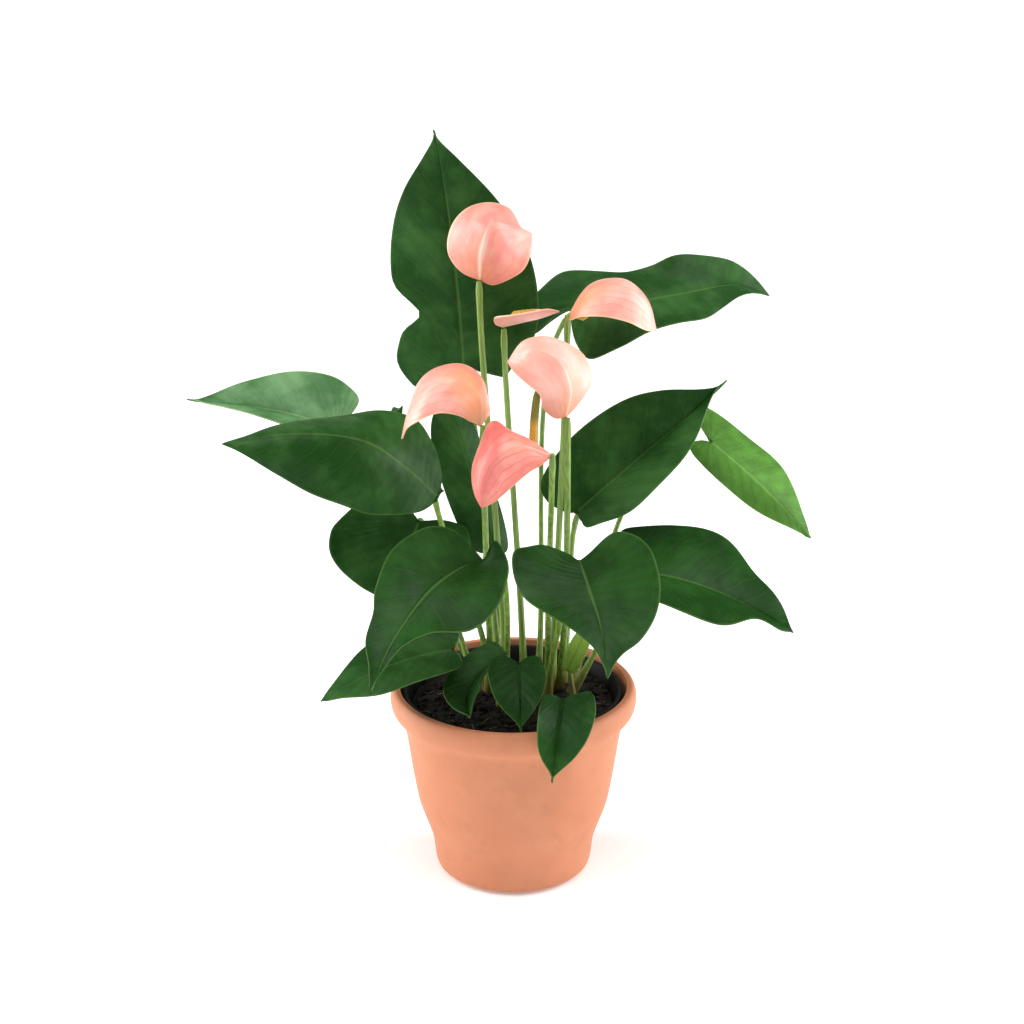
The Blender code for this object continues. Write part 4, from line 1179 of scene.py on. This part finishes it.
class ANTHURIUM_OT_spathes(bpy.types.Operator):
    """Make the spathes, the flowers' pink hoods"""

    bl_idname = "anthurium.spathes"
    bl_label = "Spathes"
    bl_options = {"REGISTER", "UNDO"}

    def execute(self, context):
        settings = context.scene.anthurium_flower
        for seed, (name, spec) in enumerate(FLOWERS.items()):
            blade = blade_of(spec)
            piece = lay_blade(name.replace("flower", "spathe"), blade, SPATHE_ROWS, SPATHE_COLUMNS,
                              settings.thickness, spathe_swell(seed, TONES[name].get("ridge_and_highlight", 0.0)),
                              MIDRIB_RIDGE["spathe"])
            finishes = spathe_finishes(settings, name.replace("flower", "spathe"), **TONES[name])
            settle(piece, (name + "_spathe",), finishes)
        return {"FINISHED"}


class ANTHURIUM_OT_peduncles(bpy.types.Operator):
    """Make the flower stalks"""

    bl_idname = "anthurium.peduncles"
    bl_label = "Flower stalks"
    bl_options = {"REGISTER", "UNDO"}

    def execute(self, context):
        finish = bpy.data.materials.get("stalk") or stalk_finish(context.scene.anthurium_stalk)
        thickness = context.scene.anthurium_flower.thickness / MM
        for name, spec in FLOWERS.items():
            end = stalk_end(blade_of(spec), spec["radius"], thickness)
            points = stalk_line(spec["foot"], end, Vector((0.0, 0.0, 1.0)), spec["bow"])
            radii = stalk_radii(points, spec["radius"], SHEATH["peduncle"])
            piece = draw_stalk(name.replace("flower", "peduncle"), points, radii)
            settle(piece, (name + "_peduncle",), (finish,))
        return {"FINISHED"}


class ANTHURIUM_OT_spadices(bpy.types.Operator):
    """Make the spadices, the knobbed spikes in the flowers"""

    bl_idname = "anthurium.spadices"
    bl_label = "Spadices"
    bl_options = {"REGISTER", "UNDO"}

    def execute(self, context):
        settings = context.scene.anthurium_flower
        plain, tipped = spadix_finish(settings, False), spadix_finish(settings, True)
        for name, spec in FLOWERS.items():
            place, along, normal, across = blade_of(spec).frame(0.0)
            thickness = settings.thickness / MM
            foot = place + normal * 0.4 + along * 1.0
            start = Vector(spec.get("spadix_foot", place + normal * (thickness / 2 + 5.0) + along * 3.0))
            way = Vector(spec["spadix"])
            tip_is_green = name in GREEN_TIPPED
            finish = tipped if tip_is_green else plain
            radius = THICK_SPADIX_RADIUS if tip_is_green else SPADIX_RADIUS
            piece = form_spadix(name.replace("flower", "spadix"), foot, start, way, radius)
            settle(piece, (name + "_spadix",), (finish,))
        return {"FINISHED"}


class ANTHURIUM_OT_stage(bpy.types.Operator):
    """Make the plain floor, the soft studio light and the camera"""

    bl_idname = "anthurium.stage"
    bl_label = "Stage"
    bl_options = {"REGISTER", "UNDO"}

    def execute(self, context):
        settings = context.scene.anthurium_stage
        self.lay_floor(settings)
        self.light_world(context, settings)
        self.add_sun(settings)
        for side, turn in (("left", -1), ("right", 1)):
            self.add_softbox(f"side_light_{side}", (turn * 1.25, 0.15, 0.55), settings.sides, 0.7, 1.3)
        self.set_camera(context, settings)
        return {"FINISHED"}

    def lay_floor(self, settings):
        deselect()
        bpy.ops.mesh.primitive_plane_add(size=14.0, location=(0.0, 0.0, -0.0003))
        floor = bpy.context.object
        floor.name = floor.data.name = "floor"
        finish = Finish("floor", 0.8, specular=0.1)
        tone = finish.noise(finish.place(), 3.0)
        finish.colour(finish.blend(tone, settings.floor, tuple(0.985 * c for c in settings.floor)))
        finish.shader.inputs["Emission Color"].default_value = (1.0, 1.0, 1.0, 1.0)
        finish.shader.inputs["Emission Strength"].default_value = settings.floor_glow
        floor.data.materials.append(finish.material)

    def light_world(self, context, settings):
        world = bpy.data.worlds.new("studio")
        world.use_nodes = True
        context.scene.world = world
        background = world.node_tree.nodes["Background"]
        background.inputs["Color"].default_value = (1.0, 1.0, 1.0, 1.0)
        background.inputs["Strength"].default_value = settings.sky

    def add_sun(self, settings):
        deselect()
        bpy.ops.object.light_add(type="SUN", location=(0.0, 0.0, 2.0))
        sun = bpy.context.object
        sun.name = sun.data.name = "overhead_light"
        sun.data.energy = settings.overhead
        sun.data.angle = math.radians(50.0)
        sun.rotation_euler = (math.radians(14.0), 0.0, 0.0)

    def add_softbox(self, name, place, power, width, height):
        deselect()
        bpy.ops.object.light_add(type="AREA", location=place)
        light = bpy.context.object
        light.name = light.data.name = name
        light.data.shape = "RECTANGLE"
        light.data.size = width
        light.data.size_y = height
        light.data.energy = power
        aim = Vector((0.0, 0.0, 0.2)) - Vector(place)
        light.rotation_euler = aim.to_track_quat("-Z", "Y").to_euler()

    def set_camera(self, context, settings):
        target = Vector((-0.0008, 0.0, 0.217))
        back = Vector((0.0, -math.cos(settings.elevation), math.sin(settings.elevation))) * settings.distance
        deselect()
        bpy.ops.object.camera_add(location=target + back,
                                  rotation=(math.pi / 2 - settings.elevation, 0.0, 0.0))
        camera = bpy.context.object
        camera.name = camera.data.name = "camera"
        camera.data.lens = settings.lens
        camera.data.sensor_width = 36.0
        context.scene.camera = camera
        context.scene.view_settings.view_transform = "Standard"
        context.scene.view_settings.look = "None"


class ANTHURIUM_PT_panel(bpy.types.Panel):
    """Lists the pieces of the potted anthurium"""

    bl_idname = "ANTHURIUM_PT_panel"
    bl_label = "Potted anthurium"
    bl_space_type = "VIEW_3D"
    bl_region_type = "UI"
    bl_category = "Anthurium"

    def draw(self, context):
        for group, operators in PANEL_ROWS:
            box = self.layout.box()
            settings = getattr(context.scene, group)
            for name in settings.__annotations__:
                box.prop(settings, name)
            for operator in operators:
                box.operator(operator)


PANEL_ROWS = (
    ("anthurium_pot", ("anthurium.cover_pot", "anthurium.inner_pot")),
    ("anthurium_soil", ("anthurium.soil",)),
    ("anthurium_leaf", ("anthurium.leaf_blades",)),
    ("anthurium_stalk", ("anthurium.petioles", "anthurium.peduncles")),
    ("anthurium_flower", ("anthurium.spathes", "anthurium.spadices")),
    ("anthurium_stage", ("anthurium.stage",)),
)

GROUPS = {"anthurium_pot": PotSettings, "anthurium_soil": SoilSettings, "anthurium_leaf": LeafSettings,
          "anthurium_stalk": StalkSettings, "anthurium_flower": FlowerSettings,
          "anthurium_stage": StageSettings}

CLASSES = (*GROUPS.values(), ANTHURIUM_OT_cover_pot, ANTHURIUM_OT_inner_pot, ANTHURIUM_OT_soil,
           ANTHURIUM_OT_leaf_blades, ANTHURIUM_OT_petioles, ANTHURIUM_OT_peduncles, ANTHURIUM_OT_spathes,
           ANTHURIUM_OT_spadices, ANTHURIUM_OT_stage, ANTHURIUM_PT_panel)


def register():
    for cls in CLASSES:
        bpy.utils.register_class(cls)
    for name, group in GROUPS.items():
        setattr(bpy.types.Scene, name, bpy.props.PointerProperty(type=group))


def unregister():
    for name in GROUPS:
        delattr(bpy.types.Scene, name)
    for cls in reversed(CLASSES):
        bpy.utils.unregister_class(cls)


def main():
    register()
    bpy.ops.anthurium.cover_pot()
    bpy.ops.anthurium.inner_pot()
    bpy.ops.anthurium.soil()
    bpy.ops.anthurium.leaf_blades()
    bpy.ops.anthurium.petioles()
    bpy.ops.anthurium.peduncles()
    bpy.ops.anthurium.spathes()
    bpy.ops.anthurium.spadices()
    bpy.ops.anthurium.stage()


if __name__ == "__main__":
    main()
